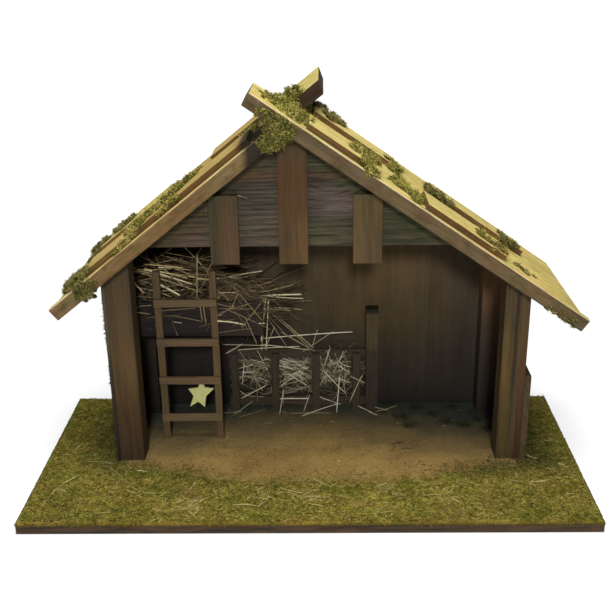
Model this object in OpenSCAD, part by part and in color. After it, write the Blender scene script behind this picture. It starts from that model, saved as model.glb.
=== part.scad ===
// Wooden nativity stable on a grass base, built board by board.
// All lengths are in millimetres. The front faces -Y and up is +Z.

/* [Base] */
// Width of the base board, left to right
base_w = 600; // [580:5:660]
// Depth of the base board, front to back
base_d = 280; // [276:2:320]
// Thickness of the base board
base_t = 10; // [6:1:18]
// Thickness of the grass mat
grass_t = 2; // [1:0.5:4]
// Thickness of the earth floor
earth_t = 2.5; // [1.5:0.5:4]
// Reach of the earth in front of the posts
earth_spill = 52; // [40:1:70]
// Radius of the curved front edge of the earth
earth_r = 600; // [500:10:900]

/* [House] */
// Width over the two front posts
house_w = 452; // [440:1:460]
// Middle of the house, right of the base middle
house_shift = 11; // [0:1:14]
// Base left free in front of the posts
forecourt = 124; // [118:1:130]
// Front of the posts to the back wall
house_d = 141; // [130:1:144]
// Side of a square post
post_w = 27; // [20:1:30]
// Thickness of the wall panels
wall_t = 4; // [3:0.5:6]
// Height of the low board outside the right wall
plinth_h = 106; // [60:1:140]
// Thickness of the low board outside the right wall
plinth_t = 7; // [4:0.5:10]

/* [Roof] */
// Height of the ridge, under the roof boards
ridge_z = 387; // [380:1:395]
// Ridge, left of the base middle
ridge_left = 18; // [8:1:24]
// Pitch of the left slope in degrees
pitch_left = 38.3; // [37:0.1:39]
// Pitch of the right slope in degrees
pitch_right = 34.5; // [33:0.1:36]
// Thickness of the roof boards
roof_t = 15; // [10:0.5:18]
// Length of the left slope below the ridge
left_reach = 310; // [295:1:316]
// Length of the right slope below the ridge
right_reach = 369; // [345:1:372]
// Length of the board ends that cross above the ridge
cross_reach = 52; // [36:1:60]
// Slant of the saw cut on the left board end above the ridge, in degrees
cross_slant = 18; // [0:1:25]
// Left boards behind the front edge, short of the eave
left_eave_set = 12; // [4:1:20]
// Right boards behind the front edge, short of the eave
right_eave_set = 10; // [4:1:20]
// Depth of the front edge that runs on to the eaves
eave_edge_w = 10; // [6:1:16]
// Roof in front of the posts
roof_overhang = 24; // [16:1:40]
// Roof behind the back wall
back_overhang = 2; // [0:0.5:6]
// Depth of the front roof boards
front_board_w = 66; // [60:1:76]
// Thickness of the raised slats
slat_t = 6; // [3:0.5:8]
// Depth of the front slats
front_slat_w = 54; // [40:1:56]
// Depth of the back slats
back_slat_w = 42; // [30:1:50]
// Bare edge in front of the front slats
front_slat_set = 9; // [4:1:9]

/* [Gable] */
// Height of the lower edge of the gable board
gable_z = 265; // [255:1:275]
// Thickness of the gable board
gable_t = 8; // [5:0.5:10]
// Gable board behind the front of the posts
gable_set = 6; // [2:1:12]
// Width of the upright gable strips
strip_w = 30; // [24:1:34]
// Thickness of the upright gable strips
strip_t = 8; // [5:0.5:10]
// Drop of the strips below the gable board
strip_drop = 17; // [8:1:24]
// Length of the two short strips
strip_h = 74; // [60:1:76]

/* [Hayloft] */
// Height of the underside of the loft floor
loft_z = 142; // [130:1:150]
// Length of the loft, from the left wall
loft_w = 163; // [150:1:180]
// Front of the loft behind the front of the posts
loft_set = 56; // [50:1:62]
// Thickness of the loft floor
loft_t = 5; // [3:0.5:8]
// Height of the loft front board
loft_front_h = 42; // [30:1:50]
// Thickness of the loft front board
loft_front_t = 6; // [4:0.5:8]
// Width of the cleats under the loft floor
cleat_w = 8; // [5:0.5:10]
// Height of the cleats under the loft floor
cleat_h = 10; // [6:0.5:14]

/* [Ladder] */
// Left rail of the ladder, from the left wall
ladder_set = 41.5; // [34:0.5:50]
// Width of the ladder
ladder_w = 71; // [64:1:76]
// Height of the ladder
ladder_h = 210; // [195:1:225]
// Width of a ladder rail
rail_w = 8; // [5:0.5:10]
// Thickness of a ladder rail
rail_t = 6; // [4:0.5:8]
// Height of a rung
rung_h = 9; // [6:0.5:12]
// Thickness of a rung
rung_t = 4; // [3:0.5:6]
// Floor to the lowest rung
rung_first = 25; // [16:1:30]
// Distance between the rungs
rung_pitch = 48; // [44:0.1:52]
// Radius of the star
star_r = 15.5; // [12:0.5:17]
// Thickness of the star
star_t = 2.5; // [1.5:0.5:4]
// Top point of the star behind the rung above it
star_lap = 4.5; // [3:0.5:8]
// Right arm of the star to the right rail
star_gap = 1; // [0.5:0.5:6]

/* [Hay rack] */
// Left end of the rack, from the left wall
rack_set = 114; // [108:1:122]
// Length of the rack rails
rack_w = 169; // [165:1:180]
// Back of the rack in front of the back wall
rack_gap = 13; // [10:1:20]
// Height of the rack
rack_h = 82; // [70:1:95]
// Height of a rack rail
rack_rail_h = 12; // [8:1:16]
// Thickness of a rack rail
rack_rail_t = 5; // [3:0.5:8]
// Floor to the lower rail
rack_low = 6; // [4:1:12]
// Width of a rack slat
rack_slat_w = 9.5; // [6:0.5:12]
// Thickness of a rack slat
rack_slat_t = 5; // [3:0.5:8]
// Rack rail above the slats
rack_slat_drop = 4; // [2:1:6]
// Left end of the rails to the first slat
rack_slat_set = 3; // [2:1:6]
// Distance between the rack slats
rack_pitch = 50; // [46:1:52]
// Side of the rack post
rack_post_w = 15; // [12:1:20]
// Height of the rack post
rack_post_h = 138; // [110:1:140]

/* [Straw and moss] */
// Diameter of a straw
straw_d = 2; // [1:0.1:3]
// Length of the straws in the loft
loft_straw_len = 82; // [60:1:90]
// Length of the straws in the rack
rack_straw_len = 56; // [40:1:60]
// Length of the straws on the grass
grass_straw_len = 24; // [16:1:30]
// Height of the straw heap in the loft
loft_heap_h = 56; // [40:1:60]
// Radius of the moss cushions on the roof
moss_r = 12; // [9:0.5:13]
// Radius of the moss cushions on the ridge
ridge_moss_r = 12; // [9:0.5:14]

/* [Hidden] */

// Overrun of every cut past the faces that it goes through
over = 1;
half = 0.5;
$fn = 48;

// Edges of the house, in the frame of the whole
house_l = house_shift - house_w * half;
house_r = house_shift + house_w * half;
front_y = forecourt - base_d * half;
back_y = front_y + house_d;
ground_z = base_t + grass_t;
floor_z = base_t + earth_t;
wall_l = house_l - wall_t;

// Edges of the roof
roof_y0 = front_y - roof_overhang;
seam_y = roof_y0 + front_board_w;
roof_y1 = back_y + wall_t + back_overhang;
back_board_w = roof_y1 - seam_y;
front_slat_y = roof_y0 + front_slat_set;
back_slat_y = seam_y + (back_board_w - back_slat_w) * half;
roof_top = roof_t + slat_t;
far = base_w * 2;

// Start and end of each slat as a share of its slope
right_front_upper_share = [0.035, 0.264];
right_front_lower_share = [0.427, 0.696];
right_back_upper_share = [0.05, 0.341];
right_back_lower_share = [0.477, 0.812];
left_front_share = [0.11, 0.833];
left_back_upper_share = [0.06, 0.303];
left_back_lower_share = [0.50, 0.835];

// Middle of each gable strip as a share of the house width
strip_shares = [0.2876, 0.446, 0.6155];

// Loft, ladder and rack planes
gable_y = front_y + gable_set;
loft_y = front_y + loft_set;
loft_board_y = loft_y + loft_front_t;
loft_top = loft_z + loft_t;
ladder_x = house_l + ladder_set;
rail_y = loft_y - rail_t;
rung_y = rail_y - rung_t;
rack_x = house_l + rack_set;
rack_back = back_y - rack_gap;
rack_rail_y = rack_back - rack_rail_t;
rack_slat_y = rack_rail_y - rack_slat_t;

// Outline of the hand-cut star as shares of its radius, clockwise from its top point
star_top_share = [0.08, 1.2];
star_arm_share = [0.97, 0.42];
star_shares = [
    star_top_share, [0.29, 0.55], star_arm_share, [0.36, -0.2], [0.22, -1.12],
    [-0.26, -0.66], [-0.9, -1.08], [-0.6, -0.17], [-0.95, 0.41], [-0.23, 0.5]
];
star_x = ladder_x + ladder_w - rail_w - star_gap - star_r * star_arm_share[0];
star_z = floor_z + rung_first + rung_pitch + star_lap - star_r * star_top_share[1];

// Straw heaps: number of straws, and how far they spread
straw_tilt = 60;
straw_lift_share = 0.7;
straw_spread_share = 0.7;
straw_depth_share = 0.3;
straw_sink_share = 0.3;
loft_straw_n = 22;
rack_straw_n = 14;
grass_straw_n = 30;
// Middle, height and radius of each hump of a heap
loft_heap_shares = [
    [-0.33, 0.84, 0.32], [-0.1, 1.0, 0.34], [0.14, 0.86, 0.31], [0.33, 0.55, 0.24]
];
rack_heap_shares = [
    [-0.36, 0.62, 0.25], [-0.13, 0.8, 0.28], [0.12, 0.72, 0.27], [0.35, 0.82, 0.24]
];
grass_straw_depth = forecourt - earth_spill - grass_straw_len;
grass_straw_y = (front_y - earth_spill - base_d * half) * half;

// Moss cushions, as shares of the slope length, the roof depth, the moss radius
// and the slat thickness: 0 lies on the board and 1 on a slat
cushion_n = 4;
cushion_reach = 0.9;
cushion_share = 0.8;
cushion_sink = 0.25;
moss_sides = 10;
moss_turn = 25;
right_moss_shares = [
    [0.1, 0.74, 0.8, 1], [0.22, 0.22, 0.8, 1], [0.27, 0.14, 0.7, 0], [0.32, 0.6, 0.75, 1],
    [0.36, 0.22, 0.85, 0], [0.42, 0.14, 0.7, 0], [0.49, 0.58, 0.75, 1], [0.53, 0.66, 0.7, 1],
    [0.65, 0.16, 0.75, 1], [0.76, 0.62, 0.8, 1], [0.79, 0.16, 0.5, 0]
];
left_moss_shares = [
    [0.12, 0.47, 0.7, 0], [0.37, 0.3, 0.8, 1], [0.42, 0.42, 0.85, 0], [0.47, 0.3, 0.8, 1],
    [0.54, 0.16, 0.8, 1], [0.61, 0.16, 0.75, 1], [0.74, 0.66, 0.8, 1], [0.82, 0.66, 0.7, 1]
];
// Moss balls as shares of the moss radius: position, then size
eave_moss_shares = [
    [-5.1, 0.3, 1.1, 0.6], [-4.4, 0.2, 1.1, 0.7], [-3.7, 0.3, 1.1, 0.7],
    [-3.0, 0.2, 1.0, 0.7], [-4.7, 0.1, 0.4, 0.7], [-3.9, 0.1, 0.2, 0.7],
    [-4.3, 0.1, -0.4, 0.6], [-3.6, 0.15, -0.4, 0.55]
];
ridge_moss_shares = [
    [-1.9, 0.1, 0.0, 0.7], [-1.0, 0.0, -0.3, 0.8], [0.0, 0.05, -0.1, 0.8],
    [-1.4, -0.1, 0.8, 0.7], [-0.4, -0.1, 0.7, 0.9], [0.6, 0.0, 0.5, 0.7],
    [-0.9, 0.1, 1.6, 0.7], [-0.5, 0.8, 1.9, 0.9], [0.5, 1.0, 1.3, 0.8],
    [1.3, 0.7, 0.7, 0.6], [-0.1, 2.2, 1.7, 0.9], [0.9, 2.4, 1.1, 0.8],
    [0.1, 3.4, 1.6, 1.0], [1.1, 3.7, 1.0, 0.8], [0.3, 4.4, 1.7, 0.9],
    [-0.5, 4.1, 2.1, 0.8]
];

// Scatter that looks random and stays the same in every build
golden_turn = 137.5;
straw_turn = 81;
first_step = 0.618;
second_step = 0.7549;
function scatter(i, step) = (i * step) % 1 - half;

module block(x0, x1, y0, y1, z0, z1) {
    translate([x0, y0, z0])
        cube([x1 - x0, y1 - y0, z1 - z0]);
}

// Footprints of the posts and the right wall, as columns of full height
module house_corners() {
    block(house_l, house_l + post_w, front_y, front_y + post_w, 0, far);
    block(house_r - post_w, house_r, front_y, front_y + post_w, 0, far);
    block(house_l, house_l + post_w, back_y - post_w, back_y, 0, far);
    block(house_r - wall_t - post_w, house_r, back_y - post_w, back_y, 0, far);
    block(house_r - wall_t, house_r, front_y, back_y, 0, far);
}

// Rounded tongue of earth in front of the posts
module earth_tongue(t) {
    intersection() {
        translate([house_shift, front_y - earth_spill + earth_r, base_t])
            cylinder(r = earth_r, h = t);
        block(house_l, house_r, front_y - earth_spill, front_y, 0, far);
    }
}

// Frame of the right slope: X runs down the slope, Z is square to it
module on_right() {
    translate([-ridge_left, 0, ridge_z])
        rotate([0, pitch_right, 0])
            children();
}

// Frame of the left slope: X runs down the slope, Z is square to it
module on_left() {
    translate([-ridge_left, 0, ridge_z])
        mirror([1, 0, 0])
            rotate([0, pitch_left, 0])
                children();
}

module above_right() {
    on_right()
        block(-far, far, -far, far, 0, far);
}

module above_left() {
    on_left()
        block(-far, far, -far, far, 0, far);
}

// Cuts whatever it holds along the underside of both slopes
module under_roof() {
    difference() {
        children();
        above_right();
        above_left();
    }
}

module post(x, y) {
    under_roof()
        block(x, x + post_w, y, y + post_w, base_t, ridge_z);
}

module roof_board(start, reach, y0, y1) {
    block(start, reach, y0, y1, 0, roof_t);
}

// Set-back of a front board behind its front edge, at the eave
module eave_notch(reach, set) {
    block(reach - set, reach + over, roof_y0 + eave_edge_w, seam_y + over,
        -over, roof_t + over);
}

// Slanting saw cut: the underside of the end is shorter than its top
module slanting_cut() {
    translate([-cross_reach, seam_y, roof_t])
        rotate([0, -cross_slant, 0])
            block(-far, 0, -over, back_board_w + over, -far, far);
}

module roof_slat(share, reach, y0, w) {
    block(share[0] * reach, share[1] * reach, y0, y0 + w, roof_t, roof_top);
}

module gable_strip(i, top) {
    mid = house_l + strip_shares[i] * house_w;
    under_roof()
        block(mid - strip_w * half, mid + strip_w * half,
            gable_y - strip_t, gable_y, gable_z - strip_drop, top);
}

module ladder_rail(x) {
    block(x, x + rail_w, rail_y, loft_y, floor_z, floor_z + ladder_h);
}

module ladder_rung(i) {
    z = floor_z + rung_first + i * rung_pitch;
    block(ladder_x, ladder_x + ladder_w, rung_y, rail_y, z, z + rung_h);
}

module rack_slat(i) {
    x = rack_x + rack_slat_set + i * rack_pitch;
    block(x, x + rack_slat_w, rack_slat_y, rack_rail_y,
        floor_z, floor_z + rack_h - rack_slat_drop);
}

// Heap of straw with a flat foot, from shares of its length and its height
module heap(shares, len, h) {
    intersection() {
        for (m = shares)
            translate([m[0] * len, 0, m[1] * h - m[2] * len])
                sphere(r = m[2] * len);
        block(-len, len, -len, len, 0, len);
    }
}

// Straws that cross inside a heap
module straws(n, len, spread_x, spread_y, lift) {
    for (i = [0 : n - 1])
        translate([
            scatter(i, first_step) * spread_x,
            scatter(i, second_step) * spread_y,
            lift
        ])
            rotate([0, 90 + scatter(i, second_step) * straw_tilt, i * straw_turn])
                cylinder(d = straw_d, h = len, center = true, $fn = 16);
}

// Rough ball of moss with flat facets
module moss_ball(r, turn) {
    rotate([turn, turn, 0])
        sphere(r = r, $fn = moss_sides);
}

// Cushion of moss: small balls round a larger one, all sunk in the board
module cushion(r) {
    translate([0, 0, -r * cushion_sink]) {
        moss_ball(r, 0);
        for (i = [0 : cushion_n - 1])
            rotate([0, 0, i * golden_turn])
                translate([r * cushion_reach, 0, 0])
                    moss_ball(r * cushion_share, i * moss_turn);
    }
}

// Moss on a slope, from shares of its length and depth, the moss radius and the slat
module slope_moss(shares, reach) {
    for (m = shares)
        translate([
            m[0] * reach, roof_y0 + m[1] * (roof_y1 - roof_y0),
            roof_t + m[3] * (roof_top - roof_t)
        ])
            cushion(m[2] * moss_r);
}

// Moss from shares of the moss radius, counted from a corner
module corner_moss(shares, r) {
    for (i = [0 : len(shares) - 1])
        let (m = shares[i])
            translate([m[0] * r, m[1] * r, m[2] * r])
                moss_ball(m[3] * r, i * moss_turn);
}

module base_board() {
    color("saddlebrown")
        block(-base_w * half, base_w * half, -base_d * half, base_d * half, 0, base_t);
}

module grass_mat() {
    color("olivedrab")
        difference() {
            block(-base_w * half, base_w * half, -base_d * half, base_d * half,
                base_t, ground_z);
            block(wall_l, house_r + plinth_t, front_y, back_y + wall_t, 0, far);
            earth_tongue(far);
        }
}

module earth_floor() {
    color("sienna")
        difference() {
            union() {
                earth_tongue(earth_t);
                block(house_l, house_r, front_y, back_y, base_t, floor_z);
            }
            house_corners();
        }
}

module front_left_post() {
    color("peru")
        post(house_l, front_y);
}

module front_right_post() {
    color("peru")
        post(house_r - post_w, front_y);
}

module back_left_post() {
    color("peru")
        post(house_l, back_y - post_w);
}

module back_right_post() {
    color("peru")
        post(house_r - wall_t - post_w, back_y - post_w);
}

module back_wall() {
    color("sienna")
        under_roof()
            block(wall_l, house_r, back_y, back_y + wall_t, base_t, ridge_z);
}

module left_wall() {
    color("sienna")
        under_roof()
            block(wall_l, house_l, front_y, back_y, base_t, ridge_z);
}

module right_wall() {
    color("sienna")
        under_roof()
            block(house_r - wall_t, house_r, front_y + post_w, back_y, base_t, ridge_z);
}

module right_plinth_board() {
    color("peru")
        block(house_r, house_r + plinth_t, front_y, back_y + wall_t,
            base_t, base_t + plinth_h);
}

module gable_board() {
    color("rosybrown")
        under_roof()
            block(-base_w * half, base_w * half, gable_y, gable_y + gable_t,
                gable_z, ridge_z);
}

module gable_strip_left() {
    color("peru")
        gable_strip(0, gable_z - strip_drop + strip_h);
}

module gable_strip_centre() {
    color("peru")
        gable_strip(1, ridge_z);
}

module gable_strip_right() {
    color("peru")
        gable_strip(2, gable_z - strip_drop + strip_h);
}

module roof_board_right_front() {
    color("burlywood")
        on_right()
            difference() {
                roof_board(-cross_reach, right_reach, roof_y0, seam_y);
                eave_notch(right_reach, right_eave_set);
            }
}

module roof_board_right_back() {
    color("burlywood")
        difference() {
            on_right()
                roof_board(-cross_reach, right_reach - right_eave_set, seam_y, roof_y1);
            above_left();
        }
}

module roof_board_left_front() {
    color("burlywood")
        difference() {
            on_left()
                roof_board(-cross_reach, left_reach, roof_y0, seam_y);
            on_left()
                eave_notch(left_reach, left_eave_set);
            above_right();
        }
}

module roof_board_left_back() {
    color("burlywood")
        on_left()
            difference() {
                roof_board(-cross_reach, left_reach - left_eave_set, seam_y, roof_y1);
                slanting_cut();
            }
}

module roof_slat_right_front_upper() {
    color("tan")
        on_right()
            roof_slat(right_front_upper_share, right_reach, front_slat_y, front_slat_w);
}

module roof_slat_right_front_lower() {
    color("tan")
        on_right()
            roof_slat(right_front_lower_share, right_reach, front_slat_y, front_slat_w);
}

module roof_slat_right_back_upper() {
    color("tan")
        on_right()
            roof_slat(right_back_upper_share, right_reach, back_slat_y, back_slat_w);
}

module roof_slat_right_back_lower() {
    color("tan")
        on_right()
            roof_slat(right_back_lower_share, right_reach, back_slat_y, back_slat_w);
}

module roof_slat_left_front() {
    color("tan")
        on_left()
            roof_slat(left_front_share, left_reach, front_slat_y, front_slat_w);
}

module roof_slat_left_back_upper() {
    color("tan")
        on_left()
            roof_slat(left_back_upper_share, left_reach, back_slat_y, back_slat_w);
}

module roof_slat_left_back_lower() {
    color("tan")
        on_left()
            roof_slat(left_back_lower_share, left_reach, back_slat_y, back_slat_w);
}

module loft_floor() {
    color("sienna")
        difference() {
            block(house_l, house_l + loft_w, loft_board_y, back_y, loft_z, loft_top);
            house_corners();
        }
}

module loft_front_board() {
    color("peru")
        block(house_l, house_l + loft_w, loft_y, loft_board_y,
            loft_z, loft_z + loft_front_h);
}

module loft_back_cleat() {
    color("sienna")
        block(house_l + post_w, house_l + loft_w, back_y - cleat_w, back_y,
            loft_z - cleat_h, loft_z);
}

module loft_side_cleat() {
    color("sienna")
        block(house_l, house_l + cleat_w, loft_board_y, back_y - post_w,
            loft_z - cleat_h, loft_z);
}

module ladder_rail_left() {
    color("peru")
        ladder_rail(ladder_x);
}

module ladder_rail_right() {
    color("peru")
        ladder_rail(ladder_x + ladder_w - rail_w);
}

module ladder_rung_1() {
    color("peru")
        ladder_rung(0);
}

module ladder_rung_2() {
    color("peru")
        ladder_rung(1);
}

module ladder_rung_3() {
    color("peru")
        ladder_rung(2);
}

module ladder_rung_4() {
    color("peru")
        ladder_rung(3);
}

module star() {
    color("lemonchiffon")
        translate([star_x, rail_y + star_t, star_z])
            rotate([90, 0, 0])
                linear_extrude(height = star_t)
                    polygon(star_shares * star_r);
}

module rack_top_rail() {
    color("peru")
        block(rack_x, rack_x + rack_w, rack_rail_y, rack_back,
            floor_z + rack_h - rack_rail_h, floor_z + rack_h);
}

module rack_bottom_rail() {
    color("peru")
        block(rack_x, rack_x + rack_w, rack_rail_y, rack_back,
            floor_z + rack_low, floor_z + rack_low + rack_rail_h);
}

module rack_slat_1() {
    color("peru")
        rack_slat(0);
}

module rack_slat_2() {
    color("peru")
        rack_slat(1);
}

module rack_slat_3() {
    color("peru")
        rack_slat(2);
}

module rack_slat_4() {
    color("peru")
        rack_slat(3);
}

module rack_post() {
    color("peru")
        block(rack_x + rack_w, rack_x + rack_w + rack_post_w,
            rack_back - rack_post_w, rack_back, floor_z, floor_z + rack_post_h);
}

module loft_straw() {
    color("khaki")
        difference() {
            intersection() {
                translate([house_l + loft_w * half, (loft_board_y + back_y) * half, loft_top])
                    union() {
                        heap(loft_heap_shares, loft_w, loft_heap_h);
                        straws(loft_straw_n, loft_straw_len,
                            loft_w * straw_spread_share, house_d * straw_depth_share,
                            loft_heap_h * straw_lift_share);
                    }
                block(house_l, house_l + loft_w, loft_board_y, back_y, loft_top, ridge_z);
            }
            house_corners();
        }
}

module rack_straw() {
    color("khaki")
        intersection() {
            translate([rack_x + rack_w * half, (rack_back + back_y) * half, floor_z])
                union() {
                    heap(rack_heap_shares, rack_w, rack_h);
                    straws(rack_straw_n, rack_straw_len,
                        rack_w * straw_spread_share, 0, rack_h * straw_lift_share);
                }
            block(rack_x, rack_x + rack_w, rack_back, back_y, floor_z, ridge_z);
        }
}

module grass_straw() {
    color("khaki")
        intersection() {
            translate([0, grass_straw_y, ground_z])
                for (i = [0 : grass_straw_n - 1])
                    translate([
                        scatter(i, first_step) * (base_w - grass_straw_len * 2),
                        scatter(i, second_step) * grass_straw_depth,
                        straw_d * straw_sink_share
                    ])
                        rotate([0, 90, i * straw_turn])
                            cylinder(d = straw_d, h = grass_straw_len, center = true,
                                $fn = 16);
            block(-far, far, -far, far, ground_z, far);
        }
}

module ridge_moss() {
    color("darkolivegreen")
        difference() {
            translate([-ridge_left, roof_y0, ridge_z])
                corner_moss(ridge_moss_shares, ridge_moss_r);
            roof_board_right_front();
            roof_board_right_back();
            roof_board_left_front();
            roof_board_left_back();
            roof_slat_right_front_upper();
        }
}

module right_slope_moss() {
    color("darkolivegreen")
        on_right()
            difference() {
                slope_moss(right_moss_shares, right_reach);
                block(-cross_reach, right_reach + over, roof_y0 - over, roof_y1 + over, -far, roof_t);
                roof_slat(right_front_upper_share, right_reach, front_slat_y, front_slat_w);
                roof_slat(right_front_lower_share, right_reach, front_slat_y, front_slat_w);
                roof_slat(right_back_upper_share, right_reach, back_slat_y, back_slat_w);
                roof_slat(right_back_lower_share, right_reach, back_slat_y, back_slat_w);
            }
}

module left_slope_moss() {
    color("darkolivegreen")
        on_left()
            difference() {
                slope_moss(left_moss_shares, left_reach);
                block(-cross_reach, left_reach + over, roof_y0 - over, roof_y1 + over, -far, roof_t);
                roof_slat(left_front_share, left_reach, front_slat_y, front_slat_w);
                roof_slat(left_back_upper_share, left_reach, back_slat_y, back_slat_w);
                roof_slat(left_back_lower_share, left_reach, back_slat_y, back_slat_w);
            }
}

module left_eave_moss() {
    color("darkolivegreen")
        on_left()
            difference() {
                translate([left_reach, roof_y0, 0])
                    corner_moss(eave_moss_shares, moss_r);
                roof_board(-cross_reach, left_reach, roof_y0, roof_y1);
                roof_slat(left_front_share, left_reach, front_slat_y, front_slat_w);
            }
}

base_board();
grass_mat();
earth_floor();
front_left_post();
front_right_post();
back_left_post();
back_right_post();
back_wall();
left_wall();
right_wall();
right_plinth_board();
gable_board();
gable_strip_left();
gable_strip_centre();
gable_strip_right();
roof_board_right_front();
roof_board_right_back();
roof_board_left_front();
roof_board_left_back();
roof_slat_right_front_upper();
roof_slat_right_front_lower();
roof_slat_right_back_upper();
roof_slat_right_back_lower();
roof_slat_left_front();
roof_slat_left_back_upper();
roof_slat_left_back_lower();
loft_floor();
loft_front_board();
loft_back_cleat();
loft_side_cleat();
ladder_rail_left();
ladder_rail_right();
ladder_rung_1();
ladder_rung_2();
ladder_rung_3();
ladder_rung_4();
star();
rack_top_rail();
rack_bottom_rail();
rack_slat_1();
rack_slat_2();
rack_slat_3();
rack_slat_4();
rack_post();
loft_straw();
rack_straw();
grass_straw();
ridge_moss();
right_slope_moss();
left_slope_moss();
left_eave_moss();
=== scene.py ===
import math

import bmesh
import bpy
import numpy as np
from mathutils import Matrix, Vector, noise


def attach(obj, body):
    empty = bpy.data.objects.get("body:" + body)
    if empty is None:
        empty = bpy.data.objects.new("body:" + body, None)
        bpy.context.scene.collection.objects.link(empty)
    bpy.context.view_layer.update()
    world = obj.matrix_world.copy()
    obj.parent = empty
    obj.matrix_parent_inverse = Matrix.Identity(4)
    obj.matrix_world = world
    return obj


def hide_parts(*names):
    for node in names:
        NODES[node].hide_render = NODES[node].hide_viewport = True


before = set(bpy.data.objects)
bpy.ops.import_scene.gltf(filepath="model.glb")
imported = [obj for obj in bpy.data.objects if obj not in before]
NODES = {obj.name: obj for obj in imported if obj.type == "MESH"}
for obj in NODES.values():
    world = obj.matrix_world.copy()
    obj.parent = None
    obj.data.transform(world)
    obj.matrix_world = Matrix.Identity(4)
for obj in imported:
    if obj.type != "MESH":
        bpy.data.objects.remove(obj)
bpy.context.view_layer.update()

MM, TO_MM = 0.001, 1000

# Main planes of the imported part, in millimetres
HALF_W, HALF_D, BASE_T = 300.0, 140.0, 10.0
HOUSE_L, HOUSE_R, WALL_L, OUTER_R = -215.0, 237.0, -219.0, 244.0
FRONT_Y, BACK_Y, WALL_BACK = -16.0, 125.0, 129.0
POST_W, WALL_T = 27.0, 4.0
GRASS_Z, FLOOR_Z = 12.0, 12.5
EARTH_R, EARTH_MID, EARTH_FRONT, EARTH_Y0 = 600.0, 11.0, -68.0, -76.0
LOFT_Z, LOFT_FRONT = 147.0, 38.0
RIDGE_X, RIDGE_Z = -18.0, 387.0
PITCH_RIGHT, PITCH_LEFT = math.radians(34.5), math.radians(38.3)
RIGHT_REACH, LEFT_REACH, CROSS_REACH = 369.0, 310.0, 52.0
ROOF_T, ROOF_TOP = 15.0, 21.0
ROOF_Y0, SEAM_Y, ROOF_Y1 = -40.0, 26.0, 131.0
FRONT_SLAT_Y, BACK_SLAT_Y = (-31.0, 23.0), (57.5, 99.5)
# Slats: start and end as shares of the slope, and their depth
RIGHT_SLATS = [
    (0.035, 0.264, FRONT_SLAT_Y), (0.427, 0.696, FRONT_SLAT_Y),
    (0.05, 0.341, BACK_SLAT_Y), (0.477, 0.812, BACK_SLAT_Y),
]
LEFT_SLATS = [
    (0.11, 0.833, FRONT_SLAT_Y), (0.06, 0.303, BACK_SLAT_Y), (0.50, 0.835, BACK_SLAT_Y),
]
# Loose fibres and straws on the base end inside this line
INSET_W, INSET_D = HALF_W - 1, HALF_D - 1

# Turns that bring a board's grain to the X axis of its pattern
ALONG_X = (0.0, 0.0, 0.0)
ALONG_Y = (0.0, 0.0, -math.pi / 2)
ALONG_Z = (0.0, math.pi / 2, 0.0)
DOWN_RIGHT = (0.0, -PITCH_RIGHT, 0.0)
DOWN_LEFT = (0.0, PITCH_LEFT, 0.0)
# Outward directions of the slopes, and how far out the gable board's top edge lies
UP_RIGHT = (math.sin(PITCH_RIGHT), 0.0, math.cos(PITCH_RIGHT))
UP_LEFT = (-math.sin(PITCH_LEFT), 0.0, math.cos(PITCH_LEFT))
RIGHT_OUT, LEFT_OUT = 308.7, 314.9

# Light and dark colour of each stain
POST = ((0.084, 0.0545, 0.0215), (0.0205, 0.0125, 0.0058))
GABLE = ((0.100, 0.081, 0.058), (0.019, 0.015, 0.011))
WALL = ((0.080, 0.058, 0.033), (0.036, 0.024, 0.0145))
FACE = ((0.190, 0.127, 0.056), (0.074, 0.048, 0.022))
TOP = ((0.62, 0.51, 0.18), (0.31, 0.235, 0.075))
SIDE = ((0.125, 0.070, 0.027), (0.042, 0.024, 0.011))
RACK = ((0.054, 0.040, 0.025), (0.016, 0.011, 0.0078))
RUNG = ((0.145, 0.097, 0.048), (0.044, 0.029, 0.016))
RAIL = ((0.120, 0.080, 0.035), (0.036, 0.024, 0.011))

STRAW = {
    "straw_warm": [
        (0.0, (0.026, 0.016, 0.009)), (0.22, (0.078, 0.051, 0.025)),
        (0.45, (0.205, 0.140, 0.062)), (0.70, (0.46, 0.355, 0.15)), (0.95, (0.78, 0.70, 0.45))],
    "straw_golden": [
        (0.0, (0.06, 0.045, 0.012)), (0.3, (0.17, 0.13, 0.035)),
        (0.6, (0.40, 0.335, 0.11)), (0.95, (0.70, 0.62, 0.28))],
    "straw_pale": [
        (0.0, (0.022, 0.018, 0.010)), (0.3, (0.10, 0.083, 0.045)),
        (0.6, (0.37, 0.325, 0.19)), (0.95, (0.86, 0.81, 0.60))],
}

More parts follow.
